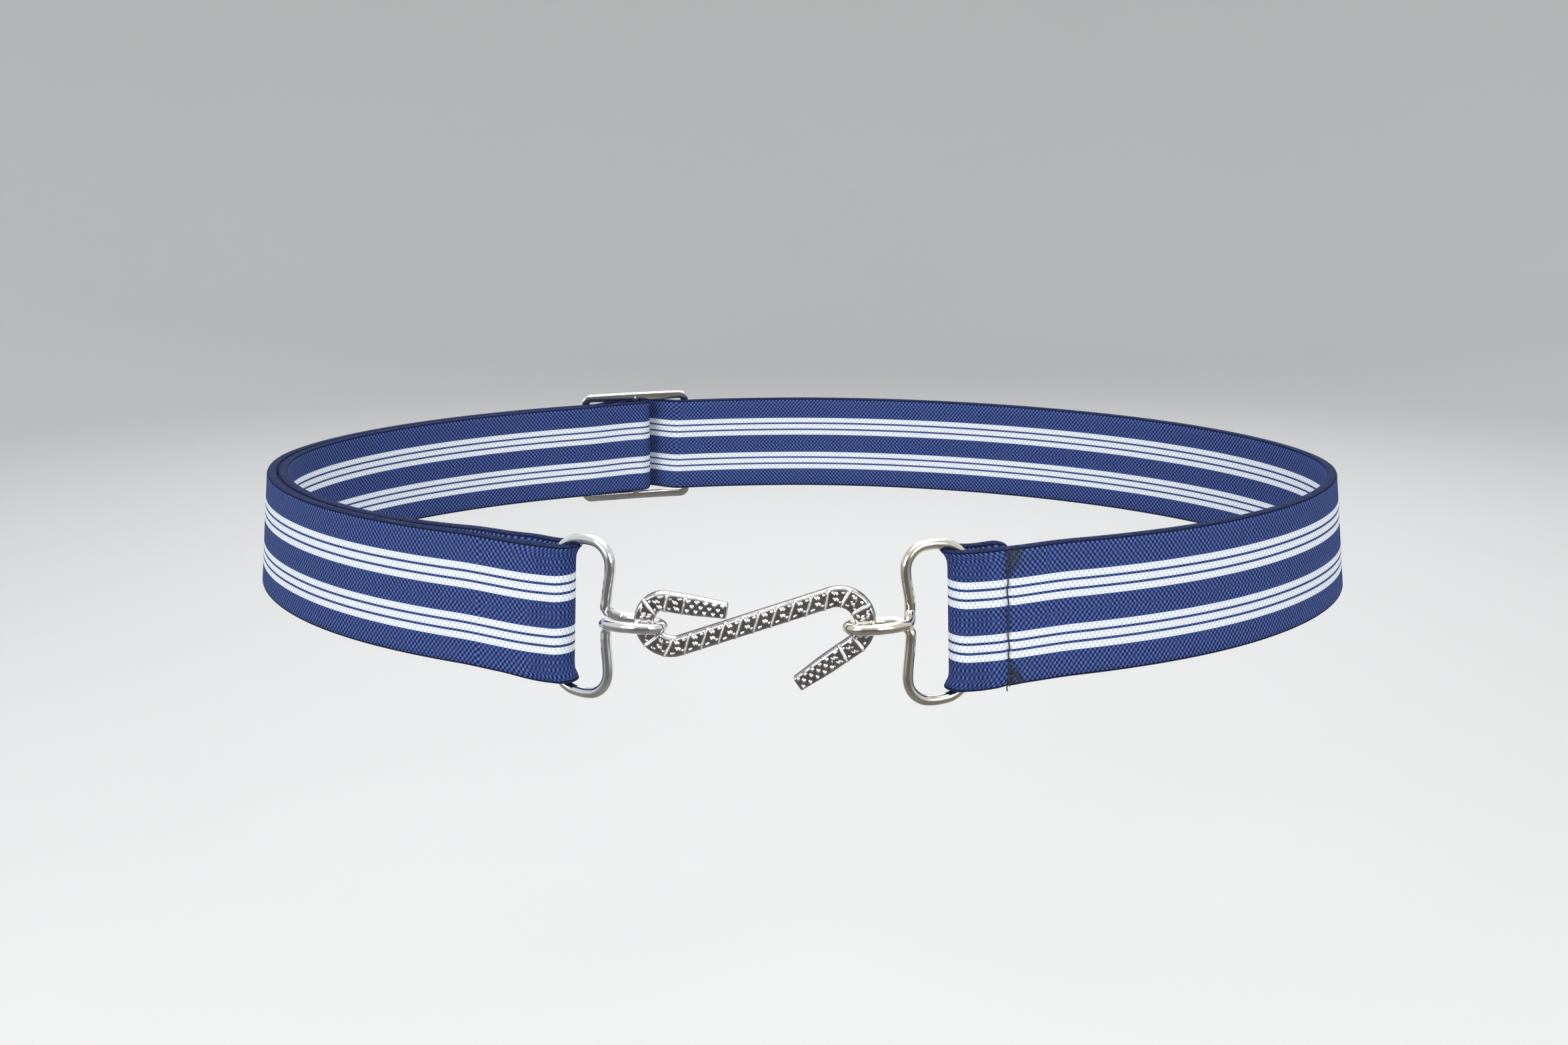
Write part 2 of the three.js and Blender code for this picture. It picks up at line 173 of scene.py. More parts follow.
# Sewing thread of the seam beside the right loop
SEAM_FROM_BAR = 0.0084
THREAD_RADIUS = 0.00015
STRAND_RADIUS = 0.00011
STITCH_LENGTH = 0.0024
OVERCAST_HEIGHT = 0.0056
OVERCAST_WIDTH = 0.0041
OVERCAST_STRANDS = 9
OVERCAST_JITTER = 0.12
STITCH_SINK = 0.00032
STITCH_ARCH = 0.00030
STITCH_WANDER = 0.00012
STRAND_SEED = 7
STRAND_WAVE_HEIGHT = 0.00006
STRAND_HALF_WAVES = 3
STRAND_WAVE_SHIFT = 9
LOOSE_END = 0.0016
LOOSE_END_SWAY = 0.0005
LOOSE_END_TURN = 2.4
LOOSE_END_SINK = 0.0006
LOOSE_END_RISE = 0.0004

# Studio
FLOOR_LEVEL = -0.22
FLOOR_RADIUS = 1.5
WALL_BEND = 0.7
WALL_HEIGHT = 1.7

# Lights: place, aim and size in metres, power in watts
SOFTBOX_AIM = (0, -0.05, 0)
SOFTBOX_SIZE = (0.7, 0.7)
LIGHTS = {
    "left softbox": {
        "place": (-0.87, -1.10, 0.66), "aim": SOFTBOX_AIM, "size": SOFTBOX_SIZE, "power": 12.2,
    },
    "right softbox": {
        "place": (0.87, -1.10, 0.66), "aim": SOFTBOX_AIM, "size": SOFTBOX_SIZE, "power": 10.6,
        "colour": (1.0, 0.985, 0.96),
    },
    "rear softbox": {
        "place": (0.0, 1.15, 0.62), "aim": (0, 0.05, 0), "size": (0.9, 0.6), "power": 5.0,
    },
    "overhead": {
        "place": (0.0, 0.05, 1.15), "aim": (0, 0, 0), "size": (1.3, 1.1), "power": 9.5,
    },
}

# Surroundings that the metal mirrors: tones, and how far up or forward the view goes where they meet
GROUND_TONE = (0.30, 0.29, 0.28, 1)
SKY_TONE = (0.85, 0.87, 0.90, 1)
BACK_TONE = (1.05, 1.05, 1.04, 1)
ROOM_TONE = (0.190, 0.182, 0.175, 1)
HORIZON_RANGE = (-0.25, 0.25)
BACK_RANGE = (0.1, 0.7)
ROOM_AHEAD_RANGE = (0.60, 0.90)
ROOM_BEHIND_RANGE = (0.86, 0.97)
ROOM_HEIGHT_RANGE = (0.3, 0.7, 1.0, 0.0)
SURROUNDINGS_STRENGTH = 0.85

# Camera, from the photograph
CAMERA_PLACE = (0.030646, -0.435718, 0.108275)
CAMERA_RIGHT = (0.99720, 0.07437, -0.00776)
CAMERA_UP = (-0.01077, 0.24553, 0.96933)
CAMERA_ANGLE = math.radians(51.377)
CAMERA_NEAREST = 0.01
CAMERA_FARTHEST = 20.0

# Fineness: steps along the strap in metres, and counts of points, rings and sides
WAIST_STEPS = 2880
BAR_HALVINGS = 40
ROUTE_GRAIN = 0.0001
FOLD_STEP = 0.00035
FOLD_ZONE = 0.018
SLIDE_STEP = 0.0006
SLIDE_ZONE = 0.024
PLAIN_STEP = 0.0013
TURN_POINTS = 61
FACE_ROWS = 25
BEAD_POINTS = 7
SEAM_POINTS = 241
STRAND_POINTS = 25
THREAD_SIDES = 8
LOOP_CORNER_POINTS = 5
EYE_POINTS = 11
CURVE_STEPS = 40
WIRE_RINGS = 560
WIRE_SIDES = 28
HOOK_RINGS = 1300
HOOK_SIDES = 76
HOOK_SECTION_STEPS = 4000
FRONT_FINENESS = 3
SLIDE_SIDES = 20
SLIDE_CORNER_POINTS = 13
SLIDE_SIDE_STEPS = 24
SLIDE_BAR_RINGS = 61
SWEEP_FLOOR_RINGS = 12
SWEEP_BEND_RINGS = 17
SWEEP_SIDES = 96

# Sizes that follow from the ones above
LAYER_PITCH = STRAP_THICKNESS + CLEARANCE
WIRE_RADIUS = WIRE_DIAMETER / 2
TURN_RADIUS = WIRE_RADIUS + CLEARANCE + STRAP_THICKNESS / 2
BAR_DEPTH = -(TURN_RADIUS + STRAP_THICKNESS / 2)
OUTER_LAYER = -STRAP_THICKNESS / 2
INNER_LAYER = OUTER_LAYER - LAYER_PITCH
LOOP_INNER_REACH = LOOP_WIDTH - WIRE_DIAMETER
LOOP_HALF_HEIGHT = (LOOP_HEIGHT - WIRE_DIAMETER) / 2
STRAIGHT_HALF = LOOP_HALF_HEIGHT - LOOP_CORNER_HEIGHT
EYE_START = LOOP_INNER_REACH - SIDE_DIP
LOOP_REACH = EYE_START + EYE_LENGTH
PLATE_MIDDLE = CLEARANCE + SLIDE_THICKNESS / 2
WRAP_RADIUS = math.hypot(SLIDE_THICKNESS / 2, CLEARANCE) + CLEARANCE + STRAP_THICKNESS / 2
STRIPE_GROUP_ROWS = (STRIPE_COUNT - 1) * STRIPE_PERIOD + STRIPE_ROWS
MM = 1000.0


# Waist line

def make_waist_line():
    """Superellipse |x/a|^n + |y/b|^n = 1, walked from the middle of the front by -X."""
    angle = -math.pi / 2 - np.linspace(0, 2 * math.pi, WAIST_STEPS + 1)
    c, s = np.cos(angle), np.sin(angle)
    share_x = np.abs(c / WAIST_HALF_WIDTH) ** WAIST_ROUNDNESS
    share_y = np.abs(s / WAIST_HALF_DEPTH) ** WAIST_ROUNDNESS
    points = np.stack([c, s], axis=1) * ((share_x + share_y) ** (-1 / WAIST_ROUNDNESS))[:, None]
    steps = np.linalg.norm(np.diff(points, axis=0), axis=1)
    lengths = np.concatenate([[0.0], np.cumsum(steps)])
    ahead = np.roll(points[:-1], -1, axis=0)
    behind = np.roll(points[:-1], 1, axis=0)
    along = ahead - behind
    along /= np.linalg.norm(along, axis=1)[:, None]
    outwards = np.stack([-along[:, 1], along[:, 0]], axis=1)
    return points, np.concatenate([outwards, outwards[:1]]), lengths


WAIST_POINTS, WAIST_OUTWARDS, WAIST_LENGTHS = make_waist_line()
WAIST_ROUND = WAIST_LENGTHS[-1]


def belt_points(u, depth, height):
    """Waist line at length u, plus outwards times (depth - height times flare), raised by height."""
    u, depth, height = np.broadcast_arrays(u, depth, height)
    place = np.mod(u, WAIST_ROUND)
    away = depth - height * FLARE
    x, y, out_x, out_y = (
        np.interp(place, WAIST_LENGTHS, column)
        for column in (*WAIST_POINTS.T, *WAIST_OUTWARDS.T)
    )
    return np.stack([x + out_x * away, y + out_y * away, height], axis=-1)


def rise(t):
    """Smooth step from 0 to 1: 3 t^2 - 2 t^3, flat outside."""
    t = np.clip(t, 0, 1)
    return t * t * (3 - 2 * t)


def hook_plane_point(x, level):
    """Upright plane that touches the front of the waist line and leans with the strap."""
    return np.stack(np.broadcast_arrays(x, -WAIST_HALF_DEPTH + level * FLARE, level), axis=-1)


# Where the loops are

HALF_SPAN = np.array([math.cos(HOOK_TILT), math.sin(HOOK_TILT)]) * HOOK_SPAN / 2
HOOK_MIDDLE = np.array([HOOK_OFFSET, HOOK_LEVEL])
LEFT_BEND = HOOK_MIDDLE - HALF_SPAN
RIGHT_BEND = HOOK_MIDDLE + HALF_SPAN
EYE_LEVEL = EYE_RISE - LOOP_DROP
HOOK_REACH = LOOP_REACH - ((HOOK_WIDTH + BEND_SWELL) / 2 + CLEARANCE + WIRE_RADIUS)
LEFT_CROSSING = hook_plane_point(LEFT_BEND[0] - LEFT_BEND_RADIUS, EYE_LEVEL)
RIGHT_CROSSING = hook_plane_point(RIGHT_BEND[0] + RIGHT_BEND_RADIUS, EYE_LEVEL)


def loop_frame(u, crossing):
    """Bar point in the fold, the bar's leaning axis, and the way square to it to the hook."""
    bar = belt_points(u, BAR_DEPTH, -LOOP_DROP)
    up = belt_points(u, BAR_DEPTH, STRAP_WIDTH) - belt_points(u, BAR_DEPTH, -STRAP_WIDTH)
    up /= np.linalg.norm(up)
    reach = crossing - bar
    reach = reach - up * (reach @ up)
    return bar, up, reach


def bar_place(crossing, side):
    """Halve the quarter waist until the loop just reaches from its bar to the hook."""
    near, far = 0.0, WAIST_ROUND / 4
    for _ in range(BAR_HALVINGS):
        middle = (near + far) / 2
        reach = loop_frame(side * middle, crossing)[2]
        if np.linalg.norm(reach) < HOOK_REACH:
            near = middle
        else:
            far = middle
    return side * near


LEFT_BAR = bar_place(LEFT_CROSSING, 1)
RIGHT_BAR = WAIST_ROUND + bar_place(RIGHT_CROSSING, -1)
SLIDE_PLACE = WAIST_ROUND / 2 - SLIDE_FROM_BACK


# Mesh helpers

def new_object(name, points, faces, material):
    """One smooth shaded mesh object at the origin from points and faces."""
    mesh = bpy.data.meshes.new(name)
    mesh.from_pydata(points.reshape(-1, 3).tolist(), [], [list(face) for face in faces])
    mesh.polygons.foreach_set("use_smooth", np.ones(len(mesh.polygons), dtype=bool))
    mesh.materials.append(material)
    mesh.update()
    made = bpy.data.objects.new(name, mesh)
    bpy.context.scene.collection.objects.link(made)
    return made


def make_piece(name, points, faces, material, node=None):
    """A piece of the belt, attached to the root, hiding the imported part that it stands for, if it has
    one.
    """
    piece = new_object(name, points, faces, material)
    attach(piece, "root")
    if node:
        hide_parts(node)
    return piece


def ring_faces(rings, sides, closed=False, first=0):
    """Quads between neighbouring rings of a tube; the last ring joins the first if closed."""
    i = np.arange(rings if closed else rings - 1)[:, None]
    k = np.arange(sides)[None, :]
    after = (i + 1) % rings
    beside = (k + 1) % sides
    corners = [i * sides + k, i * sides + beside, after * sides + beside, after * sides + k]
    return np.stack(np.broadcast_arrays(*corners), axis=-1).reshape(-1, 4) + first


def capped_tube(rings):
    """Points and faces of a tube of rings with a fan on a middle point at each end."""
    count, sides = rings.shape[:2]
    middles = rings[[0, -1]].mean(axis=1)
    points = np.concatenate([rings.reshape(-1, 3), middles])
    k = np.arange(sides)
    beside = (k + 1) % sides
    last = (count - 1) * sides
    start = np.stack([np.full(sides, count * sides), beside, k], axis=1)
    end = np.stack([np.full(sides, count * sides + 1), last + k, last + beside], axis=1)
    faces = ring_faces(count, sides).tolist() + start.tolist() + end.tolist()
    return points, faces


def tube_rings(path, along, side, radius, sides):
    """Circles round a path: radius times (cos of side + sin of the way square to side and path)."""
    along = along / np.linalg.norm(along, axis=1)[:, None]
    side = side - along * np.sum(side * along, axis=1)[:, None]
    side /= np.linalg.norm(side, axis=1)[:, None]
    across = np.cross(along, side)
    angle = (2 * math.pi * np.arange(sides) / sides)[None, :, None]
    circle = np.cos(angle) * side[:, None, :] + np.sin(angle) * across[:, None, :]
    return path[:, None, :] + radius * circle


# Shader helpers

def feed(tree, socket, value):
    if isinstance(value, bpy.types.NodeSocket):
        tree.links.new(value, socket)
    else:
        socket.default_value = value


def calc(tree, operation, *values):
    step = tree.nodes.new("ShaderNodeMath")
    step.operation = operation
    for socket, value in zip(step.inputs, values):
        feed(tree, socket, value)
    return step.outputs[0]


def blend_colours(tree, share, first, second, way="MIX"):
    step = tree.nodes.new("ShaderNodeMix")
    step.data_type = "RGBA"
    step.blend_type = way
    feed(tree, step.inputs[0], share)
    feed(tree, step.inputs[6], first)
    feed(tree, step.inputs[7], second)
    return step.outputs[2]


def spread(tree, value, low, high, to_low=0.0, to_high=1.0):
    step = tree.nodes.new("ShaderNodeMapRange")
    step.interpolation_type = "SMOOTHSTEP"
    ends = {"Value": value, "From Min": low, "From Max": high, "To Min": to_low, "To Max": to_high}
    for name, item in ends.items():
        feed(tree, step.inputs[name], item)
    return step.outputs[0]


def noise(tree, vector, scale, detail=2.0, roughness=0.5):
    step = tree.nodes.new("ShaderNodeTexNoise")
    tree.links.new(vector, step.inputs["Vector"])
    step.inputs["Scale"].default_value = scale
    step.inputs["Detail"].default_value = detail
    step.inputs["Roughness"].default_value = roughness
    return step.outputs["Fac"]


def mesh_attribute(tree, name):
    source = tree.nodes.new("ShaderNodeAttribute")
    source.attribute_type = "GEOMETRY"
    source.attribute_name = name
    return source.outputs


def object_place(tree):
    return tree.nodes.new("ShaderNodeTexCoord").outputs["Object"]


def new_material(name):
    material = bpy.data.materials.new(name)
    material.use_nodes = True
    tree = material.node_tree
    return material, tree, tree.nodes["Principled BSDF"]


def bump_from(tree, shader, height, distance, strength=1.0):
    step = tree.nodes.new("ShaderNodeBump")
    step.inputs["Strength"].default_value = strength
    step.inputs["Distance"].default_value = distance
    tree.links.new(height, step.inputs["Height"])
    tree.links.new(step.outputs["Normal"], shader.inputs["Normal"])


def new_group(name, inputs, outputs):
    """An empty node group with named float or colour sockets."""
    group = bpy.data.node_groups.new(name, "ShaderNodeTree")
    for label, kind in inputs:
        group.interface.new_socket(label, in_out="INPUT", socket_type=kind)
    for label, kind in outputs:
        group.interface.new_socket(label, in_out="OUTPUT", socket_type=kind)
    return group, group.nodes.new("NodeGroupInput"), group.nodes.new("NodeGroupOutput")


def use_group(tree, group, **values):
    step = tree.nodes.new("ShaderNodeGroup")
    step.node_tree = group
    for label, value in values.items():
        feed(tree, step.inputs[label], value)
    return step.outputs


# Shared effects

CLOUD_RANGE = (0.42, 0.72)
RUBBING_SCALE = 2600.0
RUBBING_RANGE = (0.5, 0.75, 0.0, 0.45)


def make_lattice_weave():
    """Leaning beads: cos a sin b + lean sin a cos b, a = 2 pi along / pitch, b = pi rows."""
    group, given, result = new_group(
        "lattice weave",
        [("Along", "NodeSocketFloat"), ("Rows", "NodeSocketFloat")],
        [("Bead", "NodeSocketFloat"), ("Wave", "NodeSocketFloat")],
    )
    turn = calc(group, "MULTIPLY", given.outputs["Along"], 2 * math.pi / BEAD_PITCH_MM)
    wave = calc(group, "COSINE", turn)
    row_turn = calc(group, "MULTIPLY", given.outputs["Rows"], math.pi)
    upright = calc(group, "MULTIPLY", wave, calc(group, "SINE", row_turn))
    sideways = calc(group, "MULTIPLY", calc(group, "SINE", turn), calc(group, "COSINE", row_turn))
    lattice = calc(group, "MULTIPLY_ADD", sideways, BEAD_LEAN, upright)
    bead = calc(group, "MULTIPLY_ADD", lattice, 0.5, 0.5)
    group.links.new(bead, result.inputs["Bead"])
    group.links.new(wave, result.inputs["Wave"])
    return group


def make_rubbing_and_gloss_clouds():
    """Fine rubbing and soft clouding of bright metal, which on the cast hook also stands for painted
    patches of uneven reflection: a share of dullness and a small height.
    """
    group, given, result = new_group(
        "rubbing and gloss clouds",
        [("Place", "NodeSocketVector"), ("Cloud Scale", "NodeSocketFloat"), ("Amount", "NodeSocketFloat")],
        [("Dullness", "NodeSocketFloat"), ("Height", "NodeSocketFloat")],
    )
    cloud = group.nodes.new("ShaderNodeTexNoise")
    cloud.inputs["Detail"].default_value = 4.0
    group.links.new(given.outputs["Place"], cloud.inputs["Vector"])
    group.links.new(given.outputs["Cloud Scale"], cloud.inputs["Scale"])
    fine = noise(group, given.outputs["Place"], RUBBING_SCALE, detail=3.0, roughness=0.65)
    clouding = spread(group, cloud.outputs["Fac"], *CLOUD_RANGE)
    rubbing = spread(group, fine, *RUBBING_RANGE)
    marks = calc(group, "MAXIMUM", clouding, rubbing)
    group.links.new(calc(group, "MULTIPLY", marks, given.outputs["Amount"]), result.inputs["Dullness"])
    group.links.new(fine, result.inputs["Height"])
    return group


LATTICE_WEAVE = make_lattice_weave()
RUBBING_AND_GLOSS_CLOUDS = make_rubbing_and_gloss_clouds()


# Materials

# Webbing, by height on a bead: the hole beside it in painted shade, the yarn, and its top with a painted
# highlight
NAVY_HOLE_SHADE = (0.0050, 0.0110, 0.060, 1)
NAVY_YARN = (0.0250, 0.0450, 0.152, 1)
NAVY_TOP_HIGHLIGHT = (0.1030, 0.1500, 0.365, 1)
WHITE_HOLE_SHADE = (0.340, 0.390, 0.510, 1)
WHITE_TOP_HIGHLIGHT = (0.680, 0.720, 0.780, 1)
SELVEDGE_DARK = (0.006, 0.011, 0.040, 1)
SELVEDGE_PALE = (0.024, 0.036, 0.100, 1)
GROOVE_SHADE = (0.004, 0.006, 0.018, 1)
DRIFT_SCALE = 0.4
DRIFT_MM = 0.25
UNEVEN_SCALE = 0.9
FIBRE_SCALE = 4.5
FIBRE_LIFT = 1.1
FLUFF_SCALE = 2.6
FLUFF_HEIGHT = 0.6
SCALLOP = 0.05
RIB_SWING = 0.5
RIB_MEAN = 0.30
WEBBING_ROUGHNESS = 0.85
WEBBING_GLOSS = 0.08

# Ranges where one tone meets the next; two more values are the shares at the two ends
HOLE_SHADE_RANGE = (0.10, 0.50)
TOP_HIGHLIGHT_RANGE = (0.45, 1.0)
UNEVEN_RANGE = (0.25, 0.7, 0.75, 1.0)
WHITE_SHADING_RANGE = (-0.1, 0.55)
FLUFF_RANGE = (0.36, 0.66)
SELVEDGE_RANGE_MM = (0.0, 0.12)
GROOVE_RANGE_MM = (0.05, 0.2, 0.95, 0.0)

# Sewing thread
THREAD_BLACK = (0.012, 0.016, 0.020, 1)
THREAD_GREY = (0.045, 0.055, 0.070, 1)
PLY_SCALE = 5200.0
PLY_RANGE = (0.4, 0.75)
PLY_RELIEF = 0.00005
THREAD_ROUGHNESS = 0.75

# Plated metals: polished and rubbed colour, roughness, share of marks and how fine their clouds are
SILVERY_WIRE = {
    "bright": (0.83, 0.83, 0.84, 1), "dull": (0.60, 0.60, 0.61, 1),
    "roughness": 0.07, "amount": 0.5, "cloud_scale": 260.0,
}
YELLOWISH_WIRE = {
    "bright": (0.80, 0.76, 0.66, 1), "dull": (0.56, 0.52, 0.42, 1),
    "roughness": 0.09, "amount": 0.6, "cloud_scale": 260.0,
}
NICKEL_PLATE = {
    "bright": (0.74, 0.73, 0.71, 1), "dull": (0.52, 0.51, 0.48, 1),
    "roughness": 0.16, "amount": 0.7, "cloud_scale": 180.0,
}
PLATING_ROUGHENING = 0.16
PLATING_RELIEF = 0.000006

# Cast metal
CAST_HOLLOW = (0.54, 0.53, 0.525, 1)
# Dull patches of the hollows: partly rubbing, partly painted uneven reflection
CAST_RUB_AND_REFLECTION_PATCH = (0.30, 0.285, 0.28, 1)
# Painted shade on the hook's side walls
CAST_WALL_SHADE = (0.31, 0.295, 0.285, 1)
# Painted highlight on the raised marks, which also lose some metal so that they look white
CAST_RAISED_HIGHLIGHT = (0.86, 0.86, 0.87, 1)
CAST_CLOUD_SCALE = 330.0
CAST_PATCH_SHARE = 0.9
RAISED_RANGE = (0.25, 0.85)
WALL_SHADE_RANGE = (-1.0, 0.0, 1.0, 0.0)
HIGHLIGHT_METAL_LOSS = 0.25
CAST_ROUGHNESS = 0.12
RAISED_ROUGHENING = 0.10
CAST_ROUGHENING = 0.10
CAST_GRAIN = 0.00002

# Floor
FLOOR_DARKER = (0.56, 0.56, 0.56, 1)
FLOOR_PALER = (0.58, 0.58, 0.58, 1)
FLOOR_TONE_SCALE = 3.0
FLOOR_ROUGHNESS = 0.9


def strap_place(tree):
    """Along and across the strap in millimetres and nearness to a fold, from the mesh's attribute."""
    place = mesh_attribute(tree, "strap_place")["Vector"]
    parts = tree.nodes.new("ShaderNodeSeparateXYZ")
    tree.links.new(place, parts.inputs[0])
    return place, parts.outputs[0], parts.outputs[1], parts.outputs[2]


def stripe_mask(tree, rows, wave):
    """1 on the rows of a stripe, whose edge follows the beads that it is made of."""
    period = calc(tree, "FLOOR", calc(tree, "DIVIDE", calc(tree, "ADD", rows, 0.5), STRIPE_PERIOD))
    sign = calc(tree, "COSINE", calc(tree, "MULTIPLY", period, math.pi))
    scallop = calc(tree, "MULTIPLY", calc(tree, "MULTIPLY", wave, sign), SCALLOP)
    shifted = calc(tree, "ADD", calc(tree, "ADD", rows, scallop), STRIPE_SPREAD)
    before_last = calc(tree, "LESS_THAN", shifted, STRIPE_GROUP_ROWS + 2 * STRIPE_SPREAD)
    inside = calc(tree, "MULTIPLY", calc(tree, "GREATER_THAN", shifted, 0.0), before_last)
    in_period = calc(tree, "MODULO", shifted, STRIPE_PERIOD)
    in_stripe = calc(tree, "LESS_THAN", in_period, STRIPE_ROWS + 2 * STRIPE_SPREAD)
    return calc(tree, "MULTIPLY", inside, in_stripe)


def face_colour(tree, place, bead, single_bead, white):
    """Yarn colours by how high a bead stands, with painted shade in the holes, a painted highlight on the
    tops, and uneven yarn; white keeps its beads at a fold.
    """
    uneven = noise(tree, place, UNEVEN_SCALE, detail=3.0)
    fibre = noise(tree, place, FIBRE_SCALE, detail=3.0, roughness=0.6)
    lift = calc(tree, "MULTIPLY_ADD", fibre, FIBRE_LIFT, -FIBRE_LIFT / 2)
    tall = calc(tree, "ADD", bead, lift)
    # Low beads take the painted shade of the holes, tall ones a painted highlight on their tops
    low_navy = blend_colours(tree, spread(tree, tall, *HOLE_SHADE_RANGE), NAVY_HOLE_SHADE, NAVY_YARN)
    evenness = spread(tree, uneven, *UNEVEN_RANGE)
    top_highlight_share = calc(tree, "MULTIPLY", spread(tree, tall, *TOP_HIGHLIGHT_RANGE), evenness)
    navy = blend_colours(tree, top_highlight_share, low_navy, NAVY_TOP_HIGHLIGHT)
    white_tall = calc(tree, "ADD", single_bead, lift)
    pale = blend_colours(tree, spread(tree, white_tall, *WHITE_SHADING_RANGE), WHITE_HOLE_SHADE, WHITE_TOP_HIGHLIGHT)
    return blend_colours(tree, white, navy, pale)


def selvedge_colour(tree, across, fluff, face):
    """Selvedge beads beyond the face, and the dark groove beside each of them."""
    over_top = calc(tree, "SUBTRACT", across, TOP_GROOVE * MM)
    under_bottom = calc(tree, "SUBTRACT", calc(tree, "MULTIPLY", across, -1.0), BOTTOM_GROOVE * MM)
    past_groove = calc(tree, "MAXIMUM", over_top, under_bottom)
    edge_yarn = blend_colours(tree, spread(tree, fluff, *FLUFF_RANGE), SELVEDGE_DARK, SELVEDGE_PALE)
    edged = blend_colours(tree, spread(tree, past_groove, *SELVEDGE_RANGE_MM), face, edge_yarn)
    groove_share = spread(tree, calc(tree, "ABSOLUTE", past_groove), *GROOVE_RANGE_MM)
    return blend_colours(tree, groove_share, edged, GROOVE_SHADE)


def make_webbing():
    """Navy elastic with two groups of three white stripes, two rows of beads to a stripe."""
    material, tree, shader = new_material("striped webbing")
    place, along, across, fold = strap_place(tree)
    along = calc(tree, "MULTIPLY_ADD", noise(tree, place, DRIFT_SCALE), DRIFT_MM, along)
    from_start = calc(tree, "SUBTRACT", calc(tree, "ABSOLUTE", across), STRIPES_START_MM)
    rows = calc(tree, "DIVIDE", from_start, ROW_PITCH_MM)
    weave = use_group(tree, LATTICE_WEAVE, Along=along, Rows=rows)

    # Crowded at a fold, the beads run together into ribs, whose hollows take the painted shade of the
    # holes
    rib = calc(tree, "MULTIPLY_ADD", weave["Wave"], RIB_SWING, RIB_MEAN)
    apart = calc(tree, "MULTIPLY", weave["Bead"], calc(tree, "SUBTRACT", 1.0, fold))
    bead = calc(tree, "MULTIPLY_ADD", rib, fold, apart)

    white = stripe_mask(tree, rows, weave["Wave"])
    face = face_colour(tree, place, bead, weave["Bead"], white)
    fluff = noise(tree, place, FLUFF_SCALE, detail=4.0, roughness=0.7)
    tree.links.new(selvedge_colour(tree, across, fluff, face), shader.inputs["Base Color"])
    shader.inputs["Roughness"].default_value = WEBBING_ROUGHNESS
    shader.inputs["Specular IOR Level"].default_value = WEBBING_GLOSS
    weave_height = calc(tree, "ADD", bead, calc(tree, "MULTIPLY", fluff, FLUFF_HEIGHT))
    bump_from(tree, shader, weave_height, WEAVE_RELIEF)
    return material


def make_thread():
    """Charcoal sewing thread with twisted ply and stray paler fibres."""
    material, tree, shader = new_material("charcoal thread")
    ply = noise(tree, object_place(tree), PLY_SCALE)
    colour = blend_colours(tree, spread(tree, ply, *PLY_RANGE), THREAD_BLACK, THREAD_GREY)
    tree.links.new(colour, shader.inputs["Base Color"])
    shader.inputs["Roughness"].default_value = THREAD_ROUGHNESS
    bump_from(tree, shader, ply, PLY_RELIEF)
    return material


def place_marks(tree, cloud_scale, amount):
    """The shared rubbing and gloss clouds with one metal's values."""
    values = {"Place": object_place(tree), "Cloud Scale": cloud_scale, "Amount": amount}
    return use_group(tree, RUBBING_AND_GLOSS_CLOUDS, **values)


def make_bright_metal(name, bright, dull, roughness, amount, cloud_scale):
    """Plated metal whose polish is a little clouded and rubbed."""
    material, tree, shader = new_material(name)
    marks = place_marks(tree, cloud_scale, amount)
    colour = blend_colours(tree, marks["Dullness"], bright, dull)
    tree.links.new(colour, shader.inputs["Base Color"])
    shader.inputs["Metallic"].default_value = 1.0
    dulled = calc(tree, "MULTIPLY_ADD", marks["Dullness"], PLATING_ROUGHENING, roughness)
    tree.links.new(dulled, shader.inputs["Roughness"])
    bump_from(tree, shader, marks["Height"], PLATING_RELIEF)
    return material


def make_cast_metal():
    """Cast relief with a painted highlight on it; the mesh's attribute is 1 on it, 0 in its hollows and -1
    on its walls, which are in painted shade.
    """
    material, tree, shader = new_material("cast hook")
    relief = mesh_attribute(tree, "relief")["Fac"]
    raised = spread(tree, relief, *RAISED_RANGE)
    marks = place_marks(tree, CAST_CLOUD_SCALE, CAST_PATCH_SHARE)
    # The hollows' tone clouds with rubbing and with painted patches of uneven reflection
    hollow = blend_colours(tree, marks["Dullness"], CAST_HOLLOW, CAST_RUB_AND_REFLECTION_PATCH)
    # Painted shade on the side walls
    cast = blend_colours(tree, spread(tree, relief, *WALL_SHADE_RANGE), hollow, CAST_WALL_SHADE)
    # Painted highlight: the raised relief is pale and partly not metal
    tree.links.new(blend_colours(tree, raised, cast, CAST_RAISED_HIGHLIGHT), shader.inputs["Base Color"])
    metal = calc(tree, "MULTIPLY_ADD", raised, -HIGHLIGHT_METAL_LOSS, 1.0)
    tree.links.new(metal, shader.inputs["Metallic"])
    worn = calc(tree, "MULTIPLY_ADD", raised, RAISED_ROUGHENING, CAST_ROUGHNESS)
    rough = calc(tree, "MULTIPLY_ADD", marks["Dullness"], CAST_ROUGHENING, worn)
    tree.links.new(rough, shader.inputs["Roughness"])
    bump_from(tree, shader, marks["Height"], CAST_GRAIN)
    return material


def make_floor_finish():
    """Plain pale floor with a barely uneven tone."""
    material, tree, shader = new_material("pale floor")
    tone = noise(tree, object_place(tree), FLOOR_TONE_SCALE)
    tree.links.new(blend_colours(tree, tone, FLOOR_DARKER, FLOOR_PALER), shader.inputs["Base Color"])
    shader.inputs["Roughness"].default_value = FLOOR_ROUGHNESS
    return material


# Strap

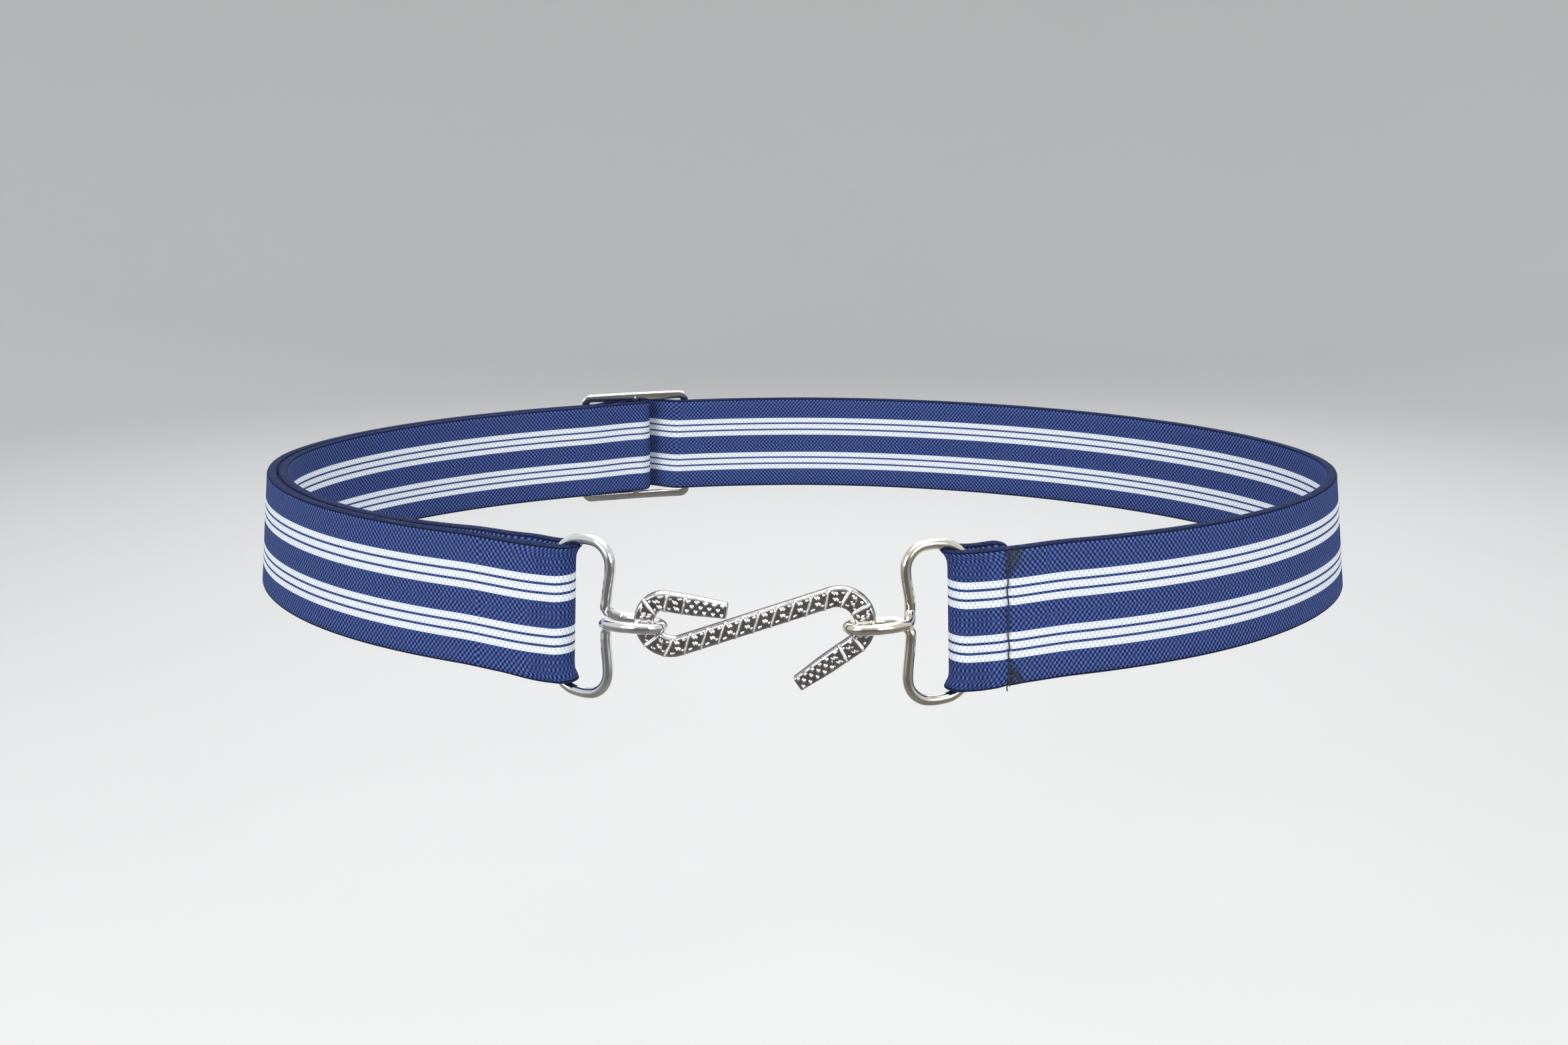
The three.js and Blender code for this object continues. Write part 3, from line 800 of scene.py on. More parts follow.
def ear_shift(height):
    """Shift of the fold by the loop's elliptic corner, plus the extra room of a slanting wire."""
    sine = np.clip((np.abs(height) - STRAIGHT_HALF) / LOOP_CORNER_HEIGHT, 0, STEEPEST_EAR)
    cosine = np.sqrt(1 - sine ** 2)
    slope = BAR_CORNER_WIDTH * sine / (LOOP_CORNER_HEIGHT * cosine)
    return BAR_CORNER_WIDTH * (1 - cosine) + (WIRE_RADIUS + CLEARANCE) * (np.hypot(1, slope) - 1)


def through_depth(s):
    """Depth of the strap in the slide: a raised cosine over the bars, flat on its top."""
    over_wrap = PLATE_MIDDLE + WRAP_RADIUS + LAYER_PITCH
    hump_half = SLIDE_BAR_SPACING - SLIDE_BAR_WIDTH / 2 - CLEARANCE
    share = np.clip((np.abs(s) - SLIDE_BAR_WIDTH) / (hump_half - SLIDE_BAR_WIDTH), 0, 1)
    return OUTER_LAYER + (over_wrap - OUTER_LAYER) * (0.5 + 0.5 * np.cos(math.pi * share))


def strap_route():
    """The strap's middle line as u and depth, from the sewn end to the end on the slide's bar."""
    fold_inner = BAR_DEPTH - TURN_RADIUS
    slide_end = SLIDE_BAR_SPACING + SLIDE_BAR_WIDTH
    wrap_start = SLIDE_PLACE - slide_end
    bar_end = SLIDE_PLACE + SLIDE_BAR_WIDTH / 2 - CLEARANCE
    share = np.linspace(0, 1, TURN_POINTS)
    turn = math.pi * share

    tail = (bar_end - SLIDE_PLACE) * (1 - share) - TAIL_END_REACH * share
    slope = np.gradient(through_depth(tail), tail)
    under = LAYER_PITCH / np.hypot(1, slope)
    stretches = [
        (RIGHT_BAR - SEAM_DISTANCE * (1 - share), INNER_LAYER + (fold_inner - INNER_LAYER) * rise(share)),
        (RIGHT_BAR + TURN_RADIUS * np.sin(turn), BAR_DEPTH - TURN_RADIUS * np.cos(turn)),
        (np.array([RIGHT_BAR, SLIDE_PLACE + slide_end]), np.full(2, OUTER_LAYER)),
        (SLIDE_PLACE + slide_end * (1 - 2 * share), through_depth(slide_end * (1 - 2 * share))),
        (np.array([wrap_start, LEFT_BAR]), np.full(2, OUTER_LAYER)),
        (LEFT_BAR - TURN_RADIUS * np.sin(turn), BAR_DEPTH + TURN_RADIUS * np.cos(turn)),
        (LEFT_BAR + PINCH_LENGTH * share, fold_inner + (INNER_LAYER - fold_inner) * rise(share)),
        (np.array([LEFT_BAR + PINCH_LENGTH, wrap_start]), np.full(2, INNER_LAYER)),
        (wrap_start + (bar_end - wrap_start) * share,
         INNER_LAYER + (PLATE_MIDDLE - WRAP_RADIUS - INNER_LAYER) * rise(share)),
        (bar_end + WRAP_RADIUS * np.sin(turn), PLATE_MIDDLE - WRAP_RADIUS * np.cos(turn)),
        (SLIDE_PLACE + tail + under * slope, through_depth(tail) - under),
    ]
    u = np.concatenate([part[0][1:] for part in stretches])
    depth = np.concatenate([part[1][1:] for part in stretches])
    return u, depth


def from_fold(u):
    """Distance along the waist line to the nearer fold."""
    return np.minimum(np.abs(u - LEFT_BAR), np.abs(u - RIGHT_BAR))


def even_route():
    """The route walked in short steps, shorter near the folds and the slide."""
    u, depth = strap_route()
    length = np.concatenate([[0.0], np.cumsum(np.hypot(np.diff(u), np.diff(depth)))])
    fine = np.arange(0, length[-1], ROUTE_GRAIN)
    fine_u = np.interp(fine, length, u)
    step = np.where(np.abs(fine_u - SLIDE_PLACE) < SLIDE_ZONE, SLIDE_STEP, PLAIN_STEP)
    step = np.where(from_fold(fine_u) < FOLD_ZONE, FOLD_STEP, step)
    count_to = np.concatenate([[0.0], np.cumsum(ROUTE_GRAIN / step)])[:-1]
    wanted = np.linspace(0, count_to[-1], int(count_to[-1]))
    along = np.interp(wanted, count_to, fine)
    return along, np.interp(along, length, u), np.interp(along, length, depth)


def near_fold(u, fade):
    """1 at a fold, falling smoothly to 0 over the fade length."""
    return 1 - rise(np.maximum(from_fold(u) - TURN_RADIUS, 0) / fade)


def strap_lift(u, depth):
    """Rise towards the clasp, sink into the loop, and the layer behind stands higher."""
    behind = np.clip((OUTER_LAYER - depth) / LAYER_PITCH, 0, 1)
    front = STRAP_RISE * near_fold(u, RISE_FADE) - FOLD_DROP * near_fold(u, DROP_FADE)
    past_fold = near_fold(u, BACK_LAYER_FADE) - near_fold(u, BACK_LAYER_START)
    return front + BACK_LAYER_RISE * past_fold * behind


def strap_section():
    """Height and place through the thickness: two faces, and a bead with its groove on each edge."""
    face = STRAP_THICKNESS / 2
    rows = np.linspace(-BOTTOM_GROOVE + GROOVE_WIDTH, TOP_GROOVE - GROOVE_WIDTH, FACE_ROWS)
    inner_rows = rows[::-2]
    outer = np.stack([rows, np.full(len(rows), face)], axis=1)
    inner = np.stack([inner_rows, np.full(len(inner_rows), -face)], axis=1)
    angle = np.linspace(BEAD_ARC, -BEAD_ARC, BEAD_POINTS)
    bead_depth = (face - BEAD_SINK) * np.sin(angle)
    edges = []
    for groove_height, bead_reach in ((TOP_GROOVE, TOP_BEAD), (BOTTOM_GROOVE, BOTTOM_BEAD)):
        bead = np.stack([groove_height + bead_reach * np.cos(angle), bead_depth], axis=1)
        groove = np.array([[groove_height, face - GROOVE_SINK]])
        edges.append(np.concatenate([groove, bead, groove * [1, -1]]))
    top, bottom = edges
    return np.concatenate([outer, top, inner, bottom[::-1] * [-1, 1]])


def strap_rings():
    """Rings of the strap's section along its route, with ears, cut corners, seam and fold ribs."""
    along, u, depth = even_route()
    section = strap_section()
    way_u, way_depth = np.gradient(u, along), np.gradient(depth, along)
    size = np.hypot(way_u, way_depth)
    through_u, through_depth_way = way_depth / size, -way_u / size
    across, offset = section[:, 0][None, :], section[:, 1][None, :]

    # The cut ends have slightly rounded corners
    from_end = np.minimum(along, along[-1] - along)
    short = np.clip(CUT_CORNER - from_end, 0, CUT_CORNER)
    trim = CUT_CORNER - np.sqrt(CUT_CORNER ** 2 - short ** 2)
    across = across * (1 - trim / (STRAP_WIDTH / 2))[:, None]

    # The seam pulls the face in, and the fold crowds it into low ribs
    front = depth > OUTER_LAYER - LAYER_PITCH / 2
    from_seam = u - (RIGHT_BAR - SEAM_FROM_BAR)
    dimple = SEAM_DIMPLE * np.exp(-(from_seam / DIMPLE_WIDTH) ** 2) * front
    crowded = near_fold(u, CROWDING_FADE)
    ribs = RIB_DEPTH_AT_FOLD * np.cos(2 * math.pi * from_fold(u) / RIB_PITCH_AT_FOLD) * crowded * front
    offset = offset + np.where(offset > 0, (ribs - dimple)[:, None], 0)

    # The fold's lower corners spread a little where the loop pulls
    low = rise((-across - CORNER_START) / (BOTTOM_GROOVE - CORNER_START))
    spreading = CORNER_SPREAD * near_fold(u, CORNER_FADE)[:, None] * low
    height = across + strap_lift(u, depth)[:, None] - spreading
    clasp_way = np.where(u < SLIDE_PLACE, -1, 1)
    ear_size = ear_shift(height + LOOP_DROP) * np.where(height > 0, TOP_EAR_SHARE, 1)
    ear = (clasp_way * near_fold(u, EAR_FADE))[:, None] * ear_size
    ring_u = u[:, None] + through_u[:, None] * offset + ear
    ring_depth = depth[:, None] + through_depth_way[:, None] * offset
    rings = belt_points(ring_u, ring_depth, height)

    # The weave is laid out along the outer face, and is crowded at the folds
    face_u = u + through_u * STRAP_THICKNESS / 2
    face_depth = depth + through_depth_way * STRAP_THICKNESS / 2
    steps = np.hypot(np.gradient(face_u), np.gradient(face_depth)) * (1 + FOLD_CROWDING * crowded)
    woven = np.cumsum(steps)
    fold = RIB_STRENGTH * crowded[:, None]
    place = np.stack(np.broadcast_arrays(woven[:, None] * MM, section[:, 0][None, :] * MM, fold), axis=-1)
    return rings, place


def make_strap(material):
    rings, place = strap_rings()
    points, faces = capped_tube(rings)
    strap = make_piece("striped_strap", points, faces, material, "elastic_strap")
    values = np.concatenate([place.reshape(-1, 3), place[[0, -1]].mean(axis=1)])
    attribute = strap.data.attributes.new("strap_place", "FLOAT_VECTOR", "POINT")
    attribute.data.foreach_set("vector", values.astype(np.float32).ravel())
    return strap


# Sewing thread

def face_points(u, height, above):
    """Points over the strap's outer face near the right fold, at a height on the strap."""
    lift = strap_lift(u, OUTER_LAYER)
    return belt_points(u, above, height + lift)


def joined_tubes(paths, sides, side):
    """Several capped tubes, each a path and its radius, as one set of points and faces."""
    all_points, all_faces, first = [], [], 0
    for path, radius in paths:
        rings = tube_rings(path, np.gradient(path, axis=0), side, radius, sides)
        points, faces = capped_tube(rings)
        all_points.append(points)
        all_faces += [[corner + first for corner in face] for face in faces]
        first += len(points)
    return np.concatenate(all_points), all_faces


def seam_paths():
    """One row of stitches from edge to edge, each a low arch between its two needle holes."""
    height = np.linspace(-BOTTOM_GROOVE - BOTTOM_BEAD, TOP_GROOVE + TOP_BEAD, SEAM_POINTS)
    wave = np.sin(math.pi * height / STITCH_LENGTH)
    seam_u = RIGHT_BAR - SEAM_FROM_BAR + STITCH_WANDER * wave
    stitches = face_points(seam_u, height, -STITCH_SINK + STITCH_ARCH * np.sqrt(np.abs(wave)))
    return [(stitches, THREAD_RADIUS)]


def overcast_paths():
    """Slanting strands that bind the corners of the folded end, top and bottom."""
    chance = np.random.default_rng(STRAND_SEED)
    paths = []
    share = np.linspace(0, 1, STRAND_POINTS)
    for edge, end in ((1, TOP_GROOVE), (-1, BOTTOM_GROOVE)):
        for k in range(OVERCAST_STRANDS):
            wander = 1 + chance.uniform(-OVERCAST_JITTER, OVERCAST_JITTER, 2)
            low, far = (k + 1) / OVERCAST_STRANDS * wander
            height = edge * (end - OVERCAST_HEIGHT * low * (1 - share))
            u = RIGHT_BAR - SEAM_FROM_BAR - OVERCAST_WIDTH * far * share
            phase = STRAND_HALF_WAVES * math.pi * share + STRAND_WAVE_SHIFT * far
            above = STRAND_WAVE_HEIGHT * np.sin(phase)
            paths.append((face_points(u, height, above), STRAND_RADIUS))
    return paths


def loose_end_path():
    """The thread's cut end below the seam, curling a little."""
    share = np.linspace(0, 1, STRAND_POINTS)
    height = -BOTTOM_GROOVE - LOOSE_END * share
    u = RIGHT_BAR - SEAM_FROM_BAR + LOOSE_END_SWAY * np.sin(LOOSE_END_TURN * share)
    above = -LOOSE_END_SINK + LOOSE_END_RISE * share
    return [(face_points(u, height, above), THREAD_RADIUS)]


def make_thread_piece(material):
    outwards = np.array([0.0, -1.0, 0.0])
    paths = seam_paths() + overcast_paths() + loose_end_path()
    points, faces = joined_tubes(paths, THREAD_SIDES, outwards)
    return make_piece("seam_thread", points, faces, material)


# Wire loops

def loop_corner(x, z, width, height, start, end):
    """Quarter of an ellipse round (x, z), from start to end as shares of a half turn."""
    angle = np.linspace(start, end, LOOP_CORNER_POINTS) * math.pi
    return np.stack([x + width * np.cos(angle), 0 * angle, z + height * np.sin(angle)], axis=1)


def loop_wire_points(eye_rise):
    """Control points of a loop's wire: oval frame, then one turn round the level eye."""
    eye_half = EYE_LENGTH / 2
    ends = math.radians(EYE_OPENING_DEGREES), math.radians(360 - EYE_OPENING_DEGREES)
    angle = np.linspace(*ends, EYE_POINTS)
    half_turn = np.cos(angle / 2)
    twist = EYE_TWIST * np.sign(half_turn) * np.abs(half_turn) ** TWIST_FOCUS
    eye_x = EYE_START + eye_half - eye_half * np.cos(angle)
    eye = np.stack([eye_x, EYE_DEPTH / 2 * np.sin(angle), eye_rise + twist], axis=1)
    side_x = LOOP_INNER_REACH - SIDE_CORNER_WIDTH
    corner = LOOP_CORNER_HEIGHT
    lead = EYE_LEAD + WIRE_DIAMETER
    return np.concatenate([
        [[0, 0, 0]],
        loop_corner(BAR_CORNER_WIDTH, STRAIGHT_HALF, BAR_CORNER_WIDTH, corner, 1, 0.5),
        loop_corner(side_x, STRAIGHT_HALF, SIDE_CORNER_WIDTH, corner, 0.5, 0),
        [[EYE_START, 0, eye_rise + lead], [EYE_START, 0, eye_rise + EYE_LEAD]],
        eye,
        [[EYE_START, 0, eye_rise - EYE_LEAD], [EYE_START, 0, eye_rise - lead]],
        loop_corner(side_x, -STRAIGHT_HALF, SIDE_CORNER_WIDTH, corner, 0, -0.5),
        loop_corner(BAR_CORNER_WIDTH, -STRAIGHT_HALF, BAR_CORNER_WIDTH, corner, -0.5, -1),
    ])


def closed_curve(points, steps):
    """Centripetal Catmull-Rom curve through closed points, walked in equal steps."""
    before, ahead, beyond = (np.roll(points, shift, axis=0) for shift in (1, -1, -2))
    gap0, gap1, gap2 = (
        np.sqrt(np.linalg.norm(end - start, axis=1))[:, None]
        for start, end in ((before, points), (points, ahead), (ahead, beyond))
    )
    leave = ((points - before) / gap0 - (ahead - before) / (gap0 + gap1) + (ahead - points) / gap1) * gap1
    arrive = ((ahead - points) / gap1 - (beyond - points) / (gap1 + gap2) + (beyond - ahead) / gap2) * gap1
    t = np.linspace(0, 1, CURVE_STEPS, endpoint=False)[None, :, None]
    start, end, leave, arrive = (item[:, None, :] for item in (points, ahead, leave, arrive))
    cube = 2 * start - 2 * end + leave + arrive
    square = -3 * start + 3 * end - 2 * leave - arrive
    curve = (start + leave * t + square * t ** 2 + cube * t ** 3).reshape(-1, 3)
    closed = np.concatenate([curve, curve[:1]])
    length = np.concatenate([[0.0], np.cumsum(np.linalg.norm(np.diff(closed, axis=0), axis=1))])
    wanted = np.linspace(0, length[-1], steps, endpoint=False)
    return np.stack([np.interp(wanted, length, column) for column in closed.T], axis=1)


def make_loop(name, node, u, crossing, eye_rise, material):
    """Round wire along the loop's curve, turned from the bar towards the hook."""
    path = closed_curve(loop_wire_points(eye_rise), WIRE_RINGS)
    eye_share = rise((path[:, 0] - EYE_START + WIRE_RADIUS) / WIRE_DIAMETER)
    level = rise(1 - np.abs(path[:, 2] - eye_rise) / (2 * EYE_LEAD))
    flat = (eye_share * level)[:, None]
    side = (1 - flat) * np.array([0.0, 1.0, 0.0]) + flat * np.array([0.0, 0.0, 1.0])
    ends = np.concatenate([path[-1:], path, path[:1]])
    rings = tube_rings(path, ends[2:] - ends[:-2], side, WIRE_RADIUS, WIRE_SIDES)

    bar, up, reach = loop_frame(u, crossing)
    forward = reach / np.linalg.norm(reach)
    basis = np.stack([forward, np.cross(up, forward), up])
    points = rings.reshape(-1, 3) @ basis + bar
    faces = ring_faces(len(path), WIRE_SIDES, closed=True).tolist()
    return make_piece(name, points, faces, material, node)


# Snake hook

def turned(heading, radius):
    """From a bend's middle to its line, where the line turns left with the given heading."""
    return np.array([math.sin(heading), -math.cos(heading)]) * radius


def hook_parts():
    """Each part's length and turning, from the arm to the tail, and the arm's start and heading."""
    body_heading = HOOK_TILT + math.asin((LEFT_BEND_RADIUS + RIGHT_BEND_RADIUS) / HOOK_SPAN)
    body_length = math.sqrt(HOOK_SPAN ** 2 - (LEFT_BEND_RADIUS + RIGHT_BEND_RADIUS) ** 2)
    arm_heading = math.pi - ARM_SLOPE
    tail_heading = -math.pi + TAIL_SLOPE
    parts = [
        (ARM_LENGTH, 0.0),
        (UPPER_BEND_RADIUS * (1.5 * math.pi - arm_heading), 1 / UPPER_BEND_RADIUS),
        (LOWER_BEND_RADIUS * (body_heading + 0.5 * math.pi), 1 / LOWER_BEND_RADIUS),
        (body_length - BODY_CUT, 0.0),
        (RIGHT_BEND_RADIUS * (body_heading - tail_heading), -1 / RIGHT_BEND_RADIUS),
        (TAIL_LENGTH, 0.0),
    ]
    start = LEFT_BEND + turned(body_heading, LEFT_BEND_RADIUS)
    start = start + np.array([math.cos(body_heading), math.sin(body_heading)]) * BODY_CUT
    start = start - turned(body_heading, LOWER_BEND_RADIUS) + turned(-0.5 * math.pi, LOWER_BEND_RADIUS)
    start = start - turned(-0.5 * math.pi, UPPER_BEND_RADIUS) + turned(arm_heading, UPPER_BEND_RADIUS)
    start = start - np.array([math.cos(arm_heading), math.sin(arm_heading)]) * ARM_LENGTH
    return parts, start, arm_heading


HOOK_PARTS, HOOK_START, ARM_HEADING = hook_parts()
ARM, UPPER_BEND, LOWER_BEND, BODY, TAIL_BEND, TAIL = (length for length, _ in HOOK_PARTS)
HOOK_LENGTH = ARM + UPPER_BEND + LOWER_BEND + BODY + TAIL_BEND + TAIL
LEFT_BEND_AT = ARM + (UPPER_BEND + LOWER_BEND) / 2
RIGHT_BEND_AT = HOOK_LENGTH - TAIL - TAIL_BEND / 2


def hook_line(distance):
    """Place and heading at given distances along the parts, each tangent to the next."""
    x = np.full(distance.shape, HOOK_START[0])
    level = np.full(distance.shape, HOOK_START[1])
    heading = np.full(distance.shape, ARM_HEADING)
    begun = 0.0
    for length, turn in HOOK_PARTS:
        step = np.clip(distance - begun, 0, length)
        after = heading + turn * step
        if turn:
            x = x + (np.sin(after) - np.sin(heading)) / turn
            level = level + (np.cos(heading) - np.cos(after)) / turn
        else:
            x = x + step * np.cos(heading)
            level = level + step * np.sin(heading)
        heading = after
        begun += length
    return x, level, heading


def ridge(value, width):
    """Round ridge of height 1 and the given half width."""
    return np.exp(-(value / width) ** 2)


def from_leg(along, across, start, end):
    """Distance from points to a straight leg between two points, all in metres."""
    leg = np.subtract(end, start)
    share = np.clip(((along - start[0]) * leg[0] + (across - start[1]) * leg[1]) / (leg @ leg), 0, 1)
    return np.hypot(along - start[0] - share * leg[0], across - start[1] - share * leg[1])


def rib_marks(past_rib, across):
    """The raised zigzags and dashes between two ribs."""
    legs = [((x0, y0), (x1, y1)) for x0, y0, x1, y1 in DASHES]
    for place in ZIGZAG_PLACES:
        corners = [(place[0] + x, place[1] + y) for x, y in ZIGZAG_LEGS]
        legs += list(zip(corners[:-1], corners[1:]))
    gaps = [from_leg(past_rib, across, np.array(a) / MM, np.array(b) / MM) for a, b in legs]
    return ridge(np.min(gaps, axis=0), MARK_WIDTH)


def hook_relief(distance, across):
    """Leaning ribs with marks between them, and three rows of dots near each end."""
    inside = np.minimum(distance - LEFT_BEND_AT, RIGHT_BEND_AT - distance)
    lean = END_LEAN + (RIB_LEAN - END_LEAN) * rise(inside / LEAN_FADE)
    slanted = distance - lean * across
    from_ends = np.minimum(slanted, HOOK_LENGTH - slanted) - DOTTED_LENGTH
    in_ribs = rise(from_ends / RIB_FADE + 0.5)
    phase = (slanted - DOTTED_LENGTH) / RIB_PITCH
    ribs = ridge((phase - np.round(phase)) * RIB_PITCH, RIB_WIDTH)
    marks = rib_marks((phase - np.floor(phase)) * RIB_PITCH, across)

    # Each row of dots is half a pitch past its neighbour, and begins past the tip's rounding
    from_tip = np.minimum(distance, HOOK_LENGTH - distance)
    row = np.round(across / DOT_ROW_PITCH)
    place = from_tip / DOT_PITCH + np.mod(row, 2) * 0.5
    near = (place - np.round(place)) * DOT_PITCH
    dots = ridge(np.hypot(near, across - row * DOT_ROW_PITCH), DOT_RADIUS) * (np.abs(row) <= 1)
    dots = dots * rise((from_tip - TIP_ROUNDING) / DOT_FADE)
    return RIB_HEIGHT * (in_ribs * np.maximum(ribs, marks) + (1 - in_ribs) * dots)


def hook_section():
    """Superellipse |x|^n + |y|^n = 1 with its normals, walked evenly but finer on the front."""
    angle = np.linspace(0, 2 * math.pi, HOOK_SECTION_STEPS + 1)
    c, s = np.cos(angle), np.sin(angle)
    radius = (np.abs(c) ** HOOK_SQUARENESS + np.abs(s) ** HOOK_SQUARENESS) ** (-1 / HOOK_SQUARENESS)
    x, y = radius * c, radius * s
    steps = np.hypot(np.diff(x) * HOOK_WIDTH, np.diff(y) * HOOK_THICKNESS)
    steps *= np.where(y[1:] > 0, FRONT_FINENESS, 1)
    length = np.concatenate([[0.0], np.cumsum(steps)])
    wanted = np.linspace(0, length[-1], HOOK_SIDES, endpoint=False)
    x, y = np.interp(wanted, length, x), np.interp(wanted, length, y)
    power = HOOK_SQUARENESS - 1
    return x, y, np.sign(x) * np.abs(x) ** power, np.sign(y) * np.abs(y) ** power


def make_hook(material):
    """Flat-faced section carried along the hook's line, with the relief raised on its front."""
    distance = np.linspace(0, HOOK_LENGTH, HOOK_RINGS)[:, None]
    section_x, section_y, way_x, way_y = (values[None, :] for values in hook_section())
    from_tip = np.minimum(distance, HOOK_LENGTH - distance)
    full = rise(from_tip / TIP_TAPER)
    from_bend = np.minimum(np.abs(distance - LEFT_BEND_AT), np.abs(distance - RIGHT_BEND_AT))
    swell = BEND_SWELL * (1 - rise(from_bend / SWELL_FADE))
    edge = TIP_ROUNDING * (1 - np.sqrt(1 - np.clip(1 - from_tip / TIP_ROUNDING, 0, 1) ** 2))
    half_width = (TIP_WIDTH + (HOOK_WIDTH - TIP_WIDTH) * full + swell) / 2 - edge
    half_thick = (TIP_THICKNESS + (HOOK_THICKNESS - TIP_THICKNESS) * full) / 2 - RIB_HEIGHT / 2 - edge

    across, out = half_width * section_x, half_thick * section_y
    normal_across, normal_out = way_x / half_width, way_y / half_thick
    size = np.hypot(normal_across, normal_out)
    raised = hook_relief(distance + 0 * across, across)
    raised = raised * rise((section_y - RELIEF_START) / RELIEF_FADE)
    across = across + raised * normal_across / size
    out = out + raised * normal_out / size

    x, level, heading = hook_line(distance)
    points = hook_plane_point(x - np.sin(heading) * across, level + np.cos(heading) * across)
    points[..., 1] -= out
    mesh_points, faces = capped_tube(points)
    hook = make_piece("cast_snake_hook", mesh_points, faces, material, "snake_hook")
    # The side walls are marked -1 in the attribute for their painted shade
    wall_shade = 1 - rise((np.abs(section_y) - WALL_SHADE_START) / WALL_SHADE_FADE)
    values = np.concatenate([(raised / RIB_HEIGHT - wall_shade).ravel(), [0, 0]])
    attribute = hook.data.attributes.new("relief", "FLOAT", "POINT")
    attribute.data.foreach_set("value", values.astype(np.float32))
    return hook


# Slide

def soft_rectangle(half_width, half_thick, sides):
    """Section x = a cos^(1/2), y = b sin^(1/2): a rectangle with well rounded edges."""
    angle = 2 * math.pi * (np.arange(sides) + 0.5) / sides
    x = half_width * np.sign(np.cos(angle)) * np.abs(np.cos(angle)) ** 0.5
    y = half_thick * np.sign(np.sin(angle)) * np.abs(np.sin(angle)) ** 0.5
    return x, y


def frame_outline(half_length, half_height, radius):
    """Rounded rectangle, anticlockwise: places and ways outwards."""
    quarter = np.linspace(0, math.pi / 2, SLIDE_CORNER_POINTS)
    straight = np.linspace(0, 1, SLIDE_SIDE_STEPS, endpoint=False)[1:]
    places, ways = [], []
    for k in range(4):
        angle = quarter + k * math.pi / 2
        way = np.stack([np.cos(angle), np.sin(angle)], axis=1)
        sign = np.array([1 if k in (0, 3) else -1, 1 if k in (0, 1) else -1])
        corner = sign * [half_length - radius, half_height - radius] + radius * way
        next_sign = np.array([1 if k in (3, 2) else -1, 1 if k in (3, 0) else -1])
        next_start = next_sign * [half_length - radius, half_height - radius] + radius * way[-1]
        side = corner[-1] + (next_start - corner[-1]) * straight[:, None]
        places += [corner, side]
        ways += [way, np.repeat(way[-1:], len(side), axis=0)]
    return np.concatenate(places), np.concatenate(ways)


def make_slide(material):
    """A bent frame of soft rectangular section with a bar across its middle."""
    half_bar = SLIDE_BAR_WIDTH / 2
    half_height = STRAP_WIDTH / 2 + SLIDE_SIDE_ROOM + half_bar
    wide, thick = soft_rectangle(half_bar, SLIDE_THICKNESS / 2, SLIDE_SIDES)

    places, ways = frame_outline(SLIDE_BAR_SPACING, half_height, SLIDE_CORNER_RADIUS - half_bar)
    flat = places[:, None, :] + ways[:, None, :] * wide[None, :, None]
    frame_points = belt_points(SLIDE_PLACE - flat[..., 0], PLATE_MIDDLE + thick[None, :], flat[..., 1])
    frame_faces = ring_faces(len(places), SLIDE_SIDES, closed=True)

    height = np.linspace(-half_height, half_height, SLIDE_BAR_RINGS)[:, None]
    bar = belt_points(SLIDE_PLACE - wide[None, :], PLATE_MIDDLE + thick[None, :], height)
    bar_points, bar_faces = capped_tube(bar)
    first = frame_points.reshape(-1, 3).shape[0]
    faces = frame_faces.tolist() + [[corner + first for corner in face] for face in bar_faces]
    points = np.concatenate([frame_points.reshape(-1, 3), bar_points])
    return make_piece("bevelled_slide", points, faces, material, "back_slide")


# Studio

def make_sweep(material):
    """Pale floor, curving up all round into a plain wall: a profile turned about the upright axis."""
    bend = np.linspace(0, math.pi / 2, SWEEP_BEND_RINGS)[1:]
    floor = np.linspace(0, FLOOR_RADIUS, SWEEP_FLOOR_RINGS)
    radius = np.concatenate([floor, FLOOR_RADIUS + WALL_BEND * np.sin(bend)])
    level = np.concatenate([np.zeros(SWEEP_FLOOR_RINGS), WALL_BEND * (1 - np.cos(bend))])
    radius = np.append(radius, radius[-1])[:, None]
    level = np.append(level, WALL_HEIGHT)[:, None] + FLOOR_LEVEL
    turn = np.linspace(0, 2 * math.pi, SWEEP_SIDES, endpoint=False)[None, :]
    circle = np.broadcast_arrays(radius * np.cos(turn), radius * np.sin(turn), level)
    faces = ring_faces(len(radius), SWEEP_SIDES).tolist()
    sweep = new_object("studio_sweep", np.stack(circle, axis=-1), faces, material)
    sweep.visible_glossy = False


def add_light(name, place, aim, size, power, colour=(1, 1, 1)):
    light = bpy.data.lights.new(name, "AREA")
    light.shape = "RECTANGLE"
    light.size, light.size_y = size
    light.energy = power
    light.color = colour
    holder = bpy.data.objects.new(name, light)
    holder.location = place
    holder.rotation_euler = (Vector(aim) - Vector(place)).to_track_quat("-Z", "Y").to_euler()
    bpy.context.scene.collection.objects.link(holder)


